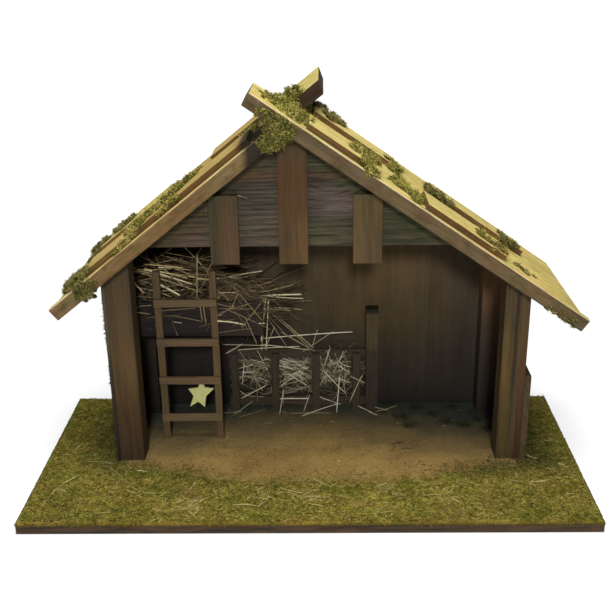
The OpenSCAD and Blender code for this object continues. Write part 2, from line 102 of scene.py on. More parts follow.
# Single stalks: middle, turn, tilt, length, width, tone
LOFT_STALKS = [
    (-166, 46, 214, 0.1, -1.05, 56, 1.3, 0.42), (-160, 47, 216, 0.1, -1.12, 50, 1.2, 0.35),
    (-125, 46, 210, 0.0, 1.52, 62, 1.3, 0.75), (-113, 46, 216, 0.0, 1.2, 30, 1.0, 0.5),
    (-160, 44, 200, 0.1, -0.50, 34, 2.6, 1.0), (-194, 44, 204, 0.1, -0.95, 26, 2.2, 0.8),
    (-168, 44, 187, 0.0, -0.10, 60, 2.6, 0.25), (-158, 48, 211, 0.05, -0.24, 70, 1.8, 0.66),
    (-150, 48, 215, 0.05, -0.14, 96, 1.6, 0.60), (-160, 46, 208, 0.02, -0.30, 84, 1.5, 0.55),
    (-142, 60, 205, -0.05, -0.20, 98, 1.6, 0.45), (-172, 66, 222, 0.2, 0.10, 60, 1.5, 0.5),
    (-93, 56, 203, 0.0, -0.48, 104, 1.8, 0.35), (-76, 58, 190, 0.1, 0.42, 74, 1.6, 0.45),
    (-60, 60, 196, 0.2, -0.40, 90, 1.5, 0.3), (-34, 56, 186, 0.1, -0.03, 52, 2.4, 0.95),
    (-28, 60, 181, -0.1, -0.10, 44, 1.6, 0.85), (-58, 50, 172, 0.0, 0.0, 76, 1.5, 0.5),
    (-87, 38, 160, 0.25, -0.12, 34, 2.4, 0.9), (-52, 50, 158, 0.1, 1.45, 56, 1.3, 0.8),
    (-48, 52, 150, 0.1, 1.5, 62, 1.3, 0.85), (-26, 66, 142, 0.2, -0.80, 74, 1.5, 0.6),
    (-40, 60, 150, 0.3, -0.95, 60, 1.3, 0.5), (-90, 38, 176, 0.1, 0.5, 40, 1.4, 0.45),
    (-100, 38, 182, 0.0, -0.3, 62, 1.5, 0.4), (-128, 54, 222, 0.1, -0.35, 60, 1.4, 0.4),
    (-72, 37, 166, 0.1, -0.5, 50, 1.4, 0.45), (-62, 38, 172, 0.1, 0.9, 46, 1.4, 0.4),
    (-68, 38, 182, 0.0, -0.9, 50, 1.3, 0.5), (-36, 48, 196, 0.1, 0.1, 40, 1.2, 0.5),
    (-98, 58, 206, 0.1, 0.02, 58, 2.0, 0.8), (-184, 60, 205, 0.0, 0.3, 44, 1.5, 0.6),
    (-157, 43, 214, 0.02, -0.31, 56, 2.0, 0.78), (-160, 44, 218, 0.0, -0.17, 48, 1.8, 0.72),
    (-122, 38, 176, 0.05, -1.45, 24, 1.6, 0.55), (-118, 38, 174, 0.05, -1.5, 30, 1.4, 0.6),
    (-150, 38, 176, 0.05, 0.06, 44, 1.6, 0.35), (-140, 37, 166, 0.0, -0.15, 38, 1.5, 0.3),
    (-165, 38, 168, 0.1, 0.1, 40, 1.4, 0.3), (-86, 37, 150, 0.1, 0.12, 44, 1.4, 0.3),
    (-192, 38, 180, 0.1, 0.15, 30, 1.4, 0.55), (-188, 38, 172, 0.2, -0.2, 34, 1.3, 0.5),
    (-66, 38, 150, 0.0, -1.2, 34, 1.3, 0.5), (-104, 38, 160, 0.0, 0.3, 44, 1.3, 0.35),
    (-162, 45, 226, 0.05, -0.10, 44, 1.5, 0.66), (-150, 46, 223, 0.0, -0.22, 40, 1.3, 0.6),
    (-168, 44, 222, 0.1, 0.12, 30, 1.2, 0.55), (-142, 46, 219, 0.0, -0.40, 38, 1.2, 0.5),
]
RACK_STALKS = [
    (-4, 96, 119, 0.02, 0.09, 112, 1.9, 0.95), (-78, 96, 106, 0.0, -0.03, 56, 1.5, 0.7),
    (-50, 96, 102, 0.05, 0.06, 76, 1.5, 0.7), (-92, 96, 101, 0.1, 0.5, 24, 1.5, 0.7),
    (-18, 95, 124, 0.05, -0.80, 66, 1.7, 0.65), (-40, 96, 124, 0.0, -1.05, 46, 1.5, 0.55),
    (-14, 95, 110, 0.1, -0.62, 50, 1.5, 0.6), (10, 96, 110, 0.0, 0.62, 46, 1.3, 0.55),
    (-56, 94, 120, 0.1, 1.45, 44, 1.3, 0.6), (-30, 96, 103, 0.0, -0.12, 60, 1.5, 0.7),
    (6, 96, 114, 0.0, 1.3, 26, 1.2, 0.6), (-48, 95, 116, 0.0, 1.2, 34, 1.3, 0.6),
    (-84, 92, 22, 0.3, 0.55, 30, 1.4, 0.5), (-36, 92, 30, 0.1, 1.40, 34, 1.4, 0.75),
    (34, 91, 40, 0.0, 1.50, 50, 1.3, 1.0), (12, 88, 22, 0.2, 0.32, 48, 1.5, 0.75),
    (0, 88, 17, 0.0, 0.05, 50, 1.2, 0.5), (70, 84, 22, -0.3, -0.35, 26, 1.4, 0.7),
    (-72, 88, 17, 0.4, 0.05, 36, 1.3, 0.45), (-100, 88, 18, -0.2, 0.2, 30, 1.3, 0.45),
    (30, 93, 56, 0.0, -0.9, 44, 1.7, 0.8), (-70, 93, 44, 0.0, 0.5, 36, 1.7, 0.75),
    (-20, 94, 34, 0.0, 0.02, 36, 1.7, 0.8), (-16, 94, 60, 0.0, -0.6, 28, 1.7, 0.8),
    (56, 93, 48, 0.0, 1.2, 40, 1.3, 0.7), (58, 93, 60, 0.0, -0.5, 20, 1.3, 0.7),
    (96, 100, 16, 0.3, 0.04, 30, 1.2, 0.5), (84, 96, 19, -0.4, -0.1, 24, 1.2, 0.6),
]
# Dark twigs on the earth, and pale wisps that cling to the gable
TWIGS = [
    (102, 18, 14.2, 0.5, 0.10, 16, 0.9, 0.05), (108, 12, 14.0, -0.7, 0.05, 12, 0.8, 0.0),
    (114, 6, 14.0, 0.2, 0.0, 18, 0.8, 0.08), (98, 8, 14.0, 1.1, 0.0, 10, 0.8, 0.0),
    (120, 12, 14.0, 2.4, 0.05, 9, 0.7, 0.1), (-88, -11.5, 319, 0.0, 0.25, 15, 0.7, 0.75),
    (-73, -11.5, 321, 0.0, 0.0, 16, 0.7, 0.8), (-64, -11.5, 319, 0.0, -0.3, 8, 0.6, 0.7),
    (-100, -11.5, 311, 0.0, -0.8, 10, 0.6, 0.6), (-98, -11.5, 307, 0.0, 0.6, 9, 0.6, 0.55),
    (-94, -11.5, 311, 0.0, 1.2, 9, 0.6, 0.55), (-103, -11.5, 306, 0.0, 1.4, 7, 0.6, 0.5),
]


def rgb(value):
    """A colour, from three numbers or from one as a grey."""
    return value if isinstance(value, tuple) else (value,) * 3


def tinted(colours, tint):
    return [tuple(a * b for a, b in zip(colour, tint)) for colour in colours]


# ---------------------------------------------------------------- node trees
class Shade:
    """Builds one node tree. Its patterns are laid out in millimetres."""

    def __init__(self, owner):
        if isinstance(owner, str):
            owner = bpy.data.materials.new(owner)
        self.owner = owner
        owner.use_nodes = True
        self.tree = owner.node_tree
        self.tree.nodes.clear()

    def add(self, kind, inputs=None, out=0, **props):
        node = self.tree.nodes.new("ShaderNode" + kind)
        for key, value in props.items():
            setattr(node, key, value)
        for key, value in (inputs or {}).items():
            self.put(node.inputs[key], value)
        return node.outputs if out is None else node.outputs[out]

    def put(self, socket, value):
        if isinstance(value, bpy.types.NodeSocket):
            self.tree.links.new(value, socket)
        elif socket.type == "RGBA":
            socket.default_value = (*value, 1.0)
        else:
            socket.default_value = value

    def coords(self):
        return self.add("TexCoord", out="Object")

    def at(self, turn=(0, 0, 0)):
        return self.place(self.coords(), (TO_MM,) * 3, turn)

    def place(self, vector, scale=(1, 1, 1), turn=(0, 0, 0), shift=(0, 0, 0)):
        return self.add("Mapping", {
            "Vector": vector, "Scale": scale, "Rotation": turn, "Location": shift})

    def split(self, vector):
        return self.add("SeparateXYZ", {0: vector}, None)

    def noise(self, vector, size, detail=2.0, rough=0.5, shift=(0, 0, 0), warp=0.0, cut=None):
        """Noise of one size, or of one for each axis. cut makes a mask of it."""
        if isinstance(size, tuple):
            vector, size = self.place(vector, size, shift=shift), 1.0
        value = self.add("TexNoise", {
            "Vector": vector, "Scale": size, "Detail": detail, "Roughness": rough,
            "Distortion": warp}, "Fac")
        return self.span(value, *cut) if cut else value

    def math(self, op, a, b=0.0, clamp=False):
        return self.add("Math", {0: a, 1: b}, operation=op, use_clamp=clamp)

    def vector(self, op, a, b=(0, 0, 0)):
        return self.add("VectorMath", {0: a, 1: b}, "Value", operation=op)

    def times(self, a, b):
        return self.math("MULTIPLY", a, b)

    def less(self, a, b):
        return self.math("SUBTRACT", a, b)

    def size(self, a):
        return self.math("ABSOLUTE", a)

    def total(self, *terms):
        """The sum of some values, each a value or a value and its share."""
        terms = [self.times(*term) if isinstance(term, tuple) else term for term in terms]
        value = terms[0]
        for term in terms[1:]:
            value = self.math("ADD", value, term)
        return value

    def span(self, value, a, b, lo=0.0, hi=1.0, smooth=False):
        """Takes a to lo and b to hi."""
        return self.add("MapRange", {
            "Value": value, "From Min": a, "From Max": b, "To Min": lo, "To Max": hi,
        }, interpolation_type="SMOOTHSTEP" if smooth else "LINEAR")

    def ramp(self, value, stops):
        colour = self.add("ValToRGB", {"Fac": value})
        bar = colour.node.color_ramp
        while len(bar.elements) < len(stops):
            bar.elements.new(1.0)
        for element, (where, shade) in zip(bar.elements, stops):
            element.position = where
            element.color = (*rgb(shade), 1.0)
        return colour

    def mix(self, share, a, b, mode="MIX"):
        return self.add("Mix", {0: share, 6: a, 7: b}, 2, data_type="RGBA", blend_type=mode,
                        clamp_factor=True)

    def paint(self, colour, where, other, share=1.0):
        """Lays another colour over this one inside a mask."""
        return self.mix(self.times(where, share), colour, other)

    def tint(self, colour, where, shade, share=1.0):
        """Multiplies the colour inside a mask."""
        return self.paint(colour, where, self.mix(1.0, colour, shade, "MULTIPLY"), share)

    def facing(self, axis):
        """How far the surface faces along an axis."""
        return self.vector("DOT_PRODUCT", self.add("NewGeometry", out="Normal"), axis)

    def attribute(self, name):
        return self.add("Attribute", out="Fac", attribute_name=name)

    def finish(self, colour, rough, shine, height=None, distance=0.0, strength=0.0):
        inputs = {"Base Color": colour, "Roughness": rough, "Specular IOR Level": shine}
        if height is not None:
            inputs["Normal"] = self.add("Bump", {
                "Height": height, "Distance": distance, "Strength": strength})
        return self.surface("Material", self.add("BsdfPrincipled", inputs))

    def surface(self, kind, shader):
        self.add("Output" + kind, {"Surface": shader}, None)
        return self.owner


def wood(name, turn, colours, seed, ring=4.5, pith=(9.0, -30.0), tilt=(0.03, 0.02), line=0.75,
         fibre=0.45, blotch=0.35, band=0.0, wave=(0.008, 3.6), grit=0.6, knot=None, face=None,
         worn_edge_and_highlight=False, mottle=0.0, green=0.0, darker_low=None, stain=None, dirt=()):
    """Stained softwood: growth rings round a pith, fibres along the grain, uneven stain."""
    s = Shade(name)
    light, dark = colours
    grain = s.at(turn)
    lo = s.place(grain, shift=np.random.default_rng(seed).uniform(-500, 500, 3).tolist())
    # Growth rings
    log = s.split(s.place(grain, turn=(0.0, *tilt), shift=(0.0, -pith[0], -pith[1])))
    across = s.math("SQRT", s.total(s.math("POWER", log[1], 2.0), s.math("POWER", log[2], 2.0)))
    wander = s.noise(lo, (wave[0], 0.035, 0.035), 3.0)
    shake = s.noise(lo, (0.03, 0.25, 0.25))
    radius = s.total(across, (wander, ring * wave[1]), (shake, ring * 0.35))
    if knot:
        # The rings bend round a knot, further along the grain than across it
        (u, v, w), size, push = knot
        away = s.vector("DISTANCE", s.place(grain, (0.5, 1, 1)), (u * 0.5, v, w))
        radius = s.total(radius, (s.span(away, size * 3.4, 0.0, smooth=True), push))
        heart = s.span(away, size * 0.5, size * 0.15, smooth=True)
    late = s.times(s.ramp(s.math("FRACT", s.math("DIVIDE", radius, ring)), [
        (0.0, 0.15), (0.12, 0.0), (0.5, 0.18), (0.8, 0.75), (0.92, 1.0), (1.0, 0.15)]), line)
    # Fibres, pores and uneven stain
    streak = s.noise(lo, (0.02, grit, grit), 4.0, 0.7, cut=(0.3, 0.7))
    fine = s.noise(lo, (0.05, 3.2, 3.2), 2.0, 0.6, cut=(0.3, 0.7))
    patch = s.noise(lo, (0.012, 0.04, 0.04), 3.0, 0.55, warp=0.6, cut=(0.3, 0.7))
    tone = s.total((late, 0.62), (streak, fibre), (fine, fibre * 0.45), (patch, blotch))
    if band:
        # Broad bands along the grain
        wide = s.noise(lo, (0.004, 0.11, 0.11), cut=(0.32, 0.68))
        tone = s.total(tone, (s.less(wide, 0.5), band))
    tone = s.math("SUBTRACT", tone, fibre * 0.5 + blotch * 0.35, clamp=True)
    colour = s.mix(tone, light, dark)
    if face:
        # The face that looks up has a colour of its own
        edge = s.noise(lo, (0.05, 0.3, 0.3))
        facing = s.span(s.total(s.facing(face), (edge, 0.06)), 0.62, 0.78)
        colour = s.mix(facing, colour, s.mix(tone, *TOP))
    if knot:
        colour = s.paint(colour, heart, tuple(v * 0.35 for v in dark), 0.8)
    if mottle:
        # Rusty patches and moss stains on weathered wood
        rust = s.noise(lo, (0.05, 0.09, 0.09), 4.0, 0.65, (70, 4, 9), cut=(0.50, 0.66))
        colour = s.tint(colour, rust, (0.80, 0.55, 0.42), 0.55 * mottle)
        spots = s.noise(lo, (0.07, 0.11, 0.11), 4.0, 0.7, cut=(0.50, 0.66))
        colour = s.tint(colour, spots, (0.62, 0.80, 0.45), 0.75 * mottle)
    # Faint warm and green tints of the stain
    hue = s.noise(lo, (0.02, 0.06, 0.06), shift=(31, 7, 11))
    colour = s.tint(colour, s.span(hue, 0.45, 0.75), (1.25, 0.92, 0.62), 0.35)
    colour = s.tint(colour, s.span(hue, 0.5, 0.25), (0.85, 1.05, 0.72), 0.3 + green)
    if worn_edge_and_highlight:
        # The front top edge is paler: partly its stain worn off, partly a painted highlight
        edge = s.span(s.math("MINIMUM", s.facing(face), s.facing((0.0, -1.0, 0.0))), 0.15, 0.45)
        chip = s.noise(lo, (0.04, 0.2, 0.2), 3.0)
        edge = s.times(edge, s.span(chip, 0.3, 0.5, 0.25, 0.95))
        colour = s.mix(edge, colour, (0.62, 0.47, 0.27))
    where = s.at()
    axes = s.split(where)
    drift = s.less(s.noise(where, (0.03, 0.03, 0.03), 3.0), 0.5)
    for spans, shade in dirt:
        # Tinted inside a box with soft sides, for dirt, stain, painted shade and painted light:
        # axis or direction, low side, high side, softness
        inside = 1.0
        for axis, low, high, soft in spans:
            along = axes[axis] if isinstance(axis, int) else s.vector("DOT_PRODUCT", where, axis)
            along = s.total(along, (drift, soft * 1.2))
            part = s.times(s.span(along, low - soft, low), s.span(along, high + soft, high))
            inside = s.times(inside, part)
        colour = s.tint(colour, inside, rgb(shade))
    z = s.total(axes[2], (drift, 40.0))
    if darker_low:
        # Darker towards the ground
        low, high, shade = darker_low
        colour = s.mix(1.0, colour, s.span(z, low, high, shade), "MULTIPLY")
    if stain:
        # Green towards the top
        colour = s.mix(s.span(z, *stain, 0.0, 0.7), colour, (0.045, 0.052, 0.024))
    return s.finish(colour, s.total((streak, 0.14), 0.74), 0.28,
                    s.total((late, -0.5), (streak, 0.55), (fine, 0.3)), 0.00035, 0.55)


def grass_material(name, fibres):
    s = Shade(name)
    at = s.at()
    broad = s.noise(at, (0.018, 0.024, 0.02), 3.0, 0.6)
    mid = s.noise(at, (0.12, 0.16, 0.12), 3.0, 0.65, (9, 3, 1))
    fine = s.noise(at, 0.9, 3.0, 0.7)
    if fibres:
        value = s.less(s.total((s.attribute("tone"), 0.74), (broad, 0.36), (mid, 0.26),
                               (s.attribute("along"), 0.08)), 0.16)
    else:
        value = s.total((broad, 0.4), (mid, 0.35), (fine, 0.3))
    colour = s.ramp(value, [
        (0.12, (0.028, 0.032, 0.007)), (0.32, (0.080, 0.083, 0.013)),
        (0.50, (0.200, 0.165, 0.022)), (0.66, (0.33, 0.262, 0.042)),
        (0.82, (0.49, 0.38, 0.085)), (0.95, (0.66, 0.54, 0.20))])
    rust = s.noise(at, (0.05, 0.07, 0.05), 3.0, shift=(40, 5, 2), cut=(0.56, 0.70))
    colour = s.paint(colour, rust, (0.24, 0.135, 0.045), 0.4)
    lush = s.noise(at, (0.028, 0.05, 0.03), 3.0, shift=(4, 61, 8), cut=(0.5, 0.64))
    colour = s.tint(colour, lush, (0.76, 0.95, 0.72), 0.6)
    # Painted shade beside the walls of the house, where the roof's shadow falls on the grass, and
    # brown at the front edge
    x, y, _ = s.split(at)
    near = s.span(s.size(s.less(x, (WALL_L + OUTER_R) / 2)), 282.0, 232.0)
    near = s.times(near, s.span(y, -62.0, -14.0))
    near = s.times(near, s.span(x, -200.0, 200.0, 0.56, 0.74))
    colour = s.mix(near, colour, (0.014, 0.020, 0.014))
    hem = s.times(s.span(y, 6 - HALF_D, 0.5 - HALF_D), s.span(mid, 0.35, 0.6, 0.4, 0.9))
    colour = s.tint(colour, hem, (0.84, 0.66, 0.7))
    return s.finish(colour, 0.9, 0.15, s.total(fine, (mid, 0.8)), 0.0012, 0.8)


def earth_material(name, grains):
    s = Shade(name)
    at = s.at()
    fine = s.noise(at, 0.55, 4.0, 0.75)
    if grains:
        value = s.total((s.attribute("tone"), 0.9), 0.02)
    else:
        value = s.total((s.noise(at, (0.02, 0.03, 0.02), 4.0, 0.6), 0.45), (fine, 0.45))
    colour = s.ramp(value, [
        (0.18, (0.085, 0.048, 0.016)), (0.36, (0.19, 0.115, 0.036)),
        (0.50, (0.300, 0.195, 0.060)), (0.68, (0.40, 0.275, 0.092)),
        (0.9, (0.54, 0.40, 0.17))])
    # Darker and dark green towards the back
    x, y, _ = s.split(at)
    cloud = s.less(s.noise(at, (0.03, 0.04, 0.03), 4.0, shift=(3, 8, 1)), 0.5)
    depth = s.total(y, (s.size(x), 0.22), (cloud, 70.0))
    colour = s.mix(s.span(depth, 0.0, 135.0, 0.0, 0.92), colour, (0.027, 0.044, 0.039))
    # Green fibres have drifted over the front
    cloud = s.less(s.noise(at, (0.06, 0.09, 0.06), 3.0), 0.5)
    drift = s.total(s.span(y, -42.0, -70.0), (cloud, 2.2))
    colour = s.paint(colour, s.span(drift, 0.35, 1.1), (0.13, 0.115, 0.025), 0.55)
    grit = s.add("TexVoronoi", {"Vector": at, "Scale": 0.8}, "Distance")
    return s.finish(colour, 0.92, 0.12, s.total(fine, (grit, 0.4)), 0.0012, 0.7)


def straw_material(name):
    s = Shade(name)
    along = s.attribute("along")
    mark = s.noise(s.at(), (0.5, 0.5, 0.5))
    colour = s.ramp(s.total(s.attribute("tone"), (s.less(mark, 0.5), 0.35)), STRAW[name])
    # A stalk is darker at its joint and at its cut ends
    knee = s.span(s.size(s.less(along, 0.55)), 0.025, 0.0)
    colour = s.paint(colour, knee, (0.16, 0.10, 0.04), 0.45)
    ends = s.span(s.size(s.less(along, 0.5)), 0.48, 0.5)
    return s.finish(s.paint(colour, ends, (0.2, 0.14, 0.07), 0.5), 0.55, 0.4)


def moss_material(name, shaded=0.0):
    s = Shade(name)
    at = s.at()
    broad = s.noise(at, (0.06, 0.06, 0.06), 3.0, 0.6)
    value = s.total((s.attribute("tone"), 0.66), (s.attribute("along"), 0.22), (broad, 0.30))
    colour = s.ramp(s.less(value, 0.08), [
        (0.10, (0.026, 0.028, 0.008)), (0.32, (0.100, 0.099, 0.018)),
        (0.50, (0.24, 0.216, 0.035)), (0.68, (0.42, 0.362, 0.067)),
        (0.88, (0.64, 0.54, 0.17))])
    brown = s.noise(at, (0.09, 0.09, 0.09), shift=(5, 9, 2), cut=(0.52, 0.7))
    colour = s.paint(colour, brown, (0.21, 0.13, 0.045), 0.5)
    # A share of painted shade makes the moss darker and bluer
    return s.finish(s.tint(colour, shaded, (0.62, 0.62, 0.95)), 0.88, 0.15)


def star_material(name):
    s = Shade(name)
    at = s.at()
    wash = s.noise(at, (0.12, 0.12, 0.12), 3.0, 0.6)
    grain = s.noise(at, (1.4, 1.4, 0.08))
    colour = s.ramp(s.total((wash, 0.7), (grain, 0.3)), [
        (0.25, (0.39, 0.385, 0.12)), (0.45, (0.50, 0.50, 0.19)), (0.75, (0.53, 0.53, 0.26))])
    return s.finish(colour, 0.6, 0.35, grain, 0.0003, 0.4)


# ---------------------------------------------------------------- meshes
def unit(v):
    return v / np.maximum(np.linalg.norm(v, axis=-1, keepdims=True), 1e-9)


def upright(z):
    return np.column_stack([np.zeros((len(z), 2)), z])


def outward(turn, rise):
    return np.column_stack([np.cos(turn), np.sin(turn), rise])


def raised(p, z):
    """Places in the plane, all at one height."""
    return np.column_stack([p, np.full(len(p), z)])


def add_object(name, mesh):
    obj = bpy.data.objects.new(name, mesh)
    bpy.context.scene.collection.objects.link(obj)
    return obj


def build(name, verts, faces, material, slot, replaces=(), smooth=False, **values):
    """A mesh from arrays in millimetres. faces is a list of index arrays, one row per face."""
    mesh = bpy.data.meshes.new(name)
    faces = [f for f in faces if len(f)]
    loops = np.concatenate([f.ravel() for f in faces]).astype(np.int32)
    sizes = np.concatenate([np.full(len(f), f.shape[1]) for f in faces])
    starts = np.concatenate([[0], np.cumsum(sizes)[:-1]]).astype(np.int32)
    mesh.vertices.add(len(verts))
    mesh.vertices.foreach_set("co", (np.asarray(verts, np.float32) * MM).ravel())
    mesh.loops.add(len(loops))
    mesh.loops.foreach_set("vertex_index", loops)
    mesh.polygons.add(len(starts))
    mesh.polygons.foreach_set("loop_start", starts)
    if smooth:
        mesh.polygons.foreach_set("use_smooth", np.ones(len(starts), bool))
    for key, value in values.items():
        mesh.attributes.new(key, "FLOAT", "POINT").data.foreach_set(
            "value", np.asarray(value, np.float32))
    mesh.materials.append(material)
    mesh.update(calc_edges=True)
    mesh.validate()
    obj = add_object(name, mesh)
    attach(obj, "root")
    if replaces:
        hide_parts(*replaces)


def strands(root, way, length, width, bend, sides=3, rings=3, flat=1.0, pointed=True, spin=None):
    """Many bent stalks or leaves at once. Returns points, faces, share along each, own number."""
    n = len(root)
    length = np.broadcast_to(length, n)[:, None]
    radius = np.broadcast_to(width, n) * 0.5
    way = unit(way)
    s = np.linspace(0, 1, rings)
    line = (root[:, None] + way[:, None] * (length * s)[:, :, None]
            + bend[:, None] * (length * s ** 2)[:, :, None])
    tangent = unit(way[:, None] + 2 * bend[:, None] * s[None, :, None])
    other = np.where(np.abs(way[:, 2:3]) > 0.8, [[1.0, 0.0, 0.0]], [[0.0, 0.0, 1.0]])
    side = unit(np.cross(way, other))
    if spin is not None:
        lift = np.cross(way, side)
        side = unit(side * np.cos(spin)[:, None] + lift * np.sin(spin)[:, None])
    a = unit(side[:, None] - tangent * (side[:, None] * tangent).sum(-1, keepdims=True))
    b = np.cross(tangent, a)
    # A pointed strand ends in one point, and any other in a flat cap
    full = rings - 1 if pointed else rings
    thin = np.linspace(1, 0, rings) ** 0.6 if pointed else np.ones(rings)
    turn = np.arange(sides) / sides * math.tau
    ring = (a[:, :full, None] * np.cos(turn)[None, None, :, None]
            + b[:, :full, None] * (flat * np.sin(turn))[None, None, :, None])
    tube = line[:, :full, None] + ring * (radius[:, None] * thin[:full])[:, :, None, None]
    points = tube.reshape(n, full * sides, 3)
    along = np.repeat(s[:full], sides)
    if pointed:
        points = np.concatenate([points, line[:, -1:]], axis=1)
        along = np.append(along, 1.0)
    per = points.shape[1]
    steps = [(k, (k + 1) % sides) for k in range(sides)]
    levels = [(j * sides, (j + 1) * sides) for j in range(full - 1)]
    last = (full - 1) * sides
    quads = [(low + k, low + m, high + m, high + k) for low, high in levels for k, m in steps]
    tris = [(last + k, last + m, per - 1) for k, m in steps] if pointed else []
    caps = [] if pointed else [tuple(range(last, last + sides))]
    caps.append(tuple(reversed(range(sides))))
    base = (np.arange(n) * per)[:, None, None]
    faces = [(np.array(f)[None] + base).reshape(-1, len(f[0])) for f in (quads, tris, caps) if f]
    return points.reshape(-1, 3), faces, np.tile(along, n), np.repeat(np.arange(n), per)


def plant(name, material, slot, stalks, tone, replaces=(), smooth=False, **form):
    """Builds strands that know their tone and how far along them a point lies."""
    points, faces, along, own = strands(*stalks, **form)
    build(name, points, faces, material, slot, replaces, smooth, tone=tone[own], along=along)


def ground(gx, gy, inside, height):
    """A closed slab on a grid: its top follows height(x, y), and it rests on the board."""
    cx, cy = np.meshgrid((gx[1:] + gx[:-1]) / 2, (gy[1:] + gy[:-1]) / 2, indexing="ij")
    keep = inside(cx, cy)
    px, py = np.meshgrid(gx, gy, indexing="ij")
    top = np.stack([px, py, height(px, py)], -1).reshape(-1, 3)
    low = np.stack([px, py, np.full_like(px, BASE_T)], -1).reshape(-1, 3)
    ny = len(gy)
    i, j = np.nonzero(keep)
    a, b, c, d = i * ny + j, (i + 1) * ny + j, (i + 1) * ny + j + 1, i * ny + j + 1
    shift = len(top)
    ring = np.pad(keep, 1)
    parts = [np.stack([a, b, c, d], 1), np.stack([d, c, b, a], 1) + shift]
    for di, dj, p, q in ((-1, 0, a, d), (1, 0, c, b), (0, -1, b, a), (0, 1, d, c)):
        is_rim = ~ring[i + 1 + di, j + 1 + dj]
        parts.append(np.stack([p, q, q + shift, p + shift], 1)[is_rim])
    faces = np.concatenate(parts)
    used, back = np.unique(faces, return_inverse=True)
    return np.concatenate([top, low])[used], back.reshape(faces.shape)


def rough_field(x, y, size, seed, octaves=3):
    """Smooth random heights from -1 to 1, the same in every run."""
    out = [noise.fractal(Vector((u / size, v / size, seed * 7.3)), 0.9, 2.0, octaves)
           for u, v in zip(x.ravel(), y.ravel())]
    return np.array(out).reshape(x.shape)


def lines(*marks, step=2.6):
    """Grid lines through all the marks, about a step apart."""
    out = [np.array([marks[0]])]
    for a, b in zip(marks, marks[1:]):
        n = max(1, int(round((b - a) / step)))
        out.append(np.linspace(a, b, n + 1)[1:])
    return np.concatenate(out)


def scatter(rng, n, x0, x1, y0, y1, keep):
    """n random places in a rectangle for which keep is true."""
    got = np.empty((0, 2))
    while len(got) < n:
        p = np.column_stack([rng.uniform(x0, x1, n), rng.uniform(y0, y1, n)])
        got = np.concatenate([got, p[keep(p[:, 0], p[:, 1])]])
    return got[:n]


# ---------------------------------------------------------------- ground
def earth_edge(x):
    """Front edge of the earth, which wanders round an arc."""
    arc = EARTH_FRONT + EARTH_R - np.sqrt(np.maximum(EARTH_R ** 2 - (x - EARTH_MID) ** 2, 0))
    return arc + 4.0 * np.sin(x * 0.041 + 1.0) + 2.2 * np.sin(x * 0.13) + 1.2 * np.sin(x * 0.31)


def is_earth(x, y):
    room = (x > HOUSE_L) & (x < HOUSE_R - WALL_T) & (y > FRONT_Y - 1) & (y < BACK_Y)
    tongue = (x > HOUSE_L + 6) & (x < HOUSE_R - 3) & (y > earth_edge(x)) & (y <= FRONT_Y)
    return room | tongue


def is_grass(x, y):
    on_board = (np.abs(x) < HALF_W) & (np.abs(y) < HALF_D)
    in_house = (x > WALL_L) & (x < OUTER_R) & (y > FRONT_Y) & (y < WALL_BACK)
    return on_board & ~in_house & ~is_earth(x, y)


def past_front(y):
    """0 under the house, and 1 from 40 mm in front of it."""
    return np.clip((FRONT_Y - y) / 40.0, 0, 1)


def make_ground():
    def turf_height(x, y):
        z = GRASS_Z + 0.9 * rough_field(x, y, 9.0, 1) + 0.5 * rough_field(x, y, 3.2, 2, 2)
        rim = np.minimum(HALF_W - np.abs(x), HALF_D - np.abs(y))
        return np.maximum(z - 0.8 * np.exp(-rim / 2.0), BASE_T + 0.8)

    def earth_height(x, y):
        z = FLOOR_Z + 0.5 * rough_field(x, y, 12.0, 4) + 0.25 * rough_field(x, y, 3.0, 5, 2)
        return z + 0.6 * past_front(y)

    verts, faces = ground(lines(-HALF_W, WALL_L, HOUSE_L, HOUSE_R, OUTER_R, HALF_W),
                          lines(-HALF_D, FRONT_Y, BACK_Y, WALL_BACK, HALF_D),
                          is_grass, turf_height)
    # A ragged top edge all round
    rim = (np.abs(verts[:, 0]) > HALF_W - 0.1) | (np.abs(verts[:, 1]) > HALF_D - 0.1)
    ragged = np.random.default_rng(11).uniform(-0.35, 0.35, rim.sum())
    verts[rim, 2] += ragged * (verts[rim, 2] > BASE_T + 0.3)
    build("grass_turf", verts, [faces], grass_material("grass_turf", False), "grass",
          ["grass_mat"], smooth=True)
    verts, faces = ground(lines(HOUSE_L, HOUSE_L + POST_W, HOUSE_R - POST_W, HOUSE_R - WALL_T),
                          lines(EARTH_Y0, FRONT_Y - 1, FRONT_Y, BACK_Y), is_earth, earth_height)
    build("earth_ground", verts, [faces], earth_material("earth_ground", False), "earth",
          ["earth_floor"], smooth=True)


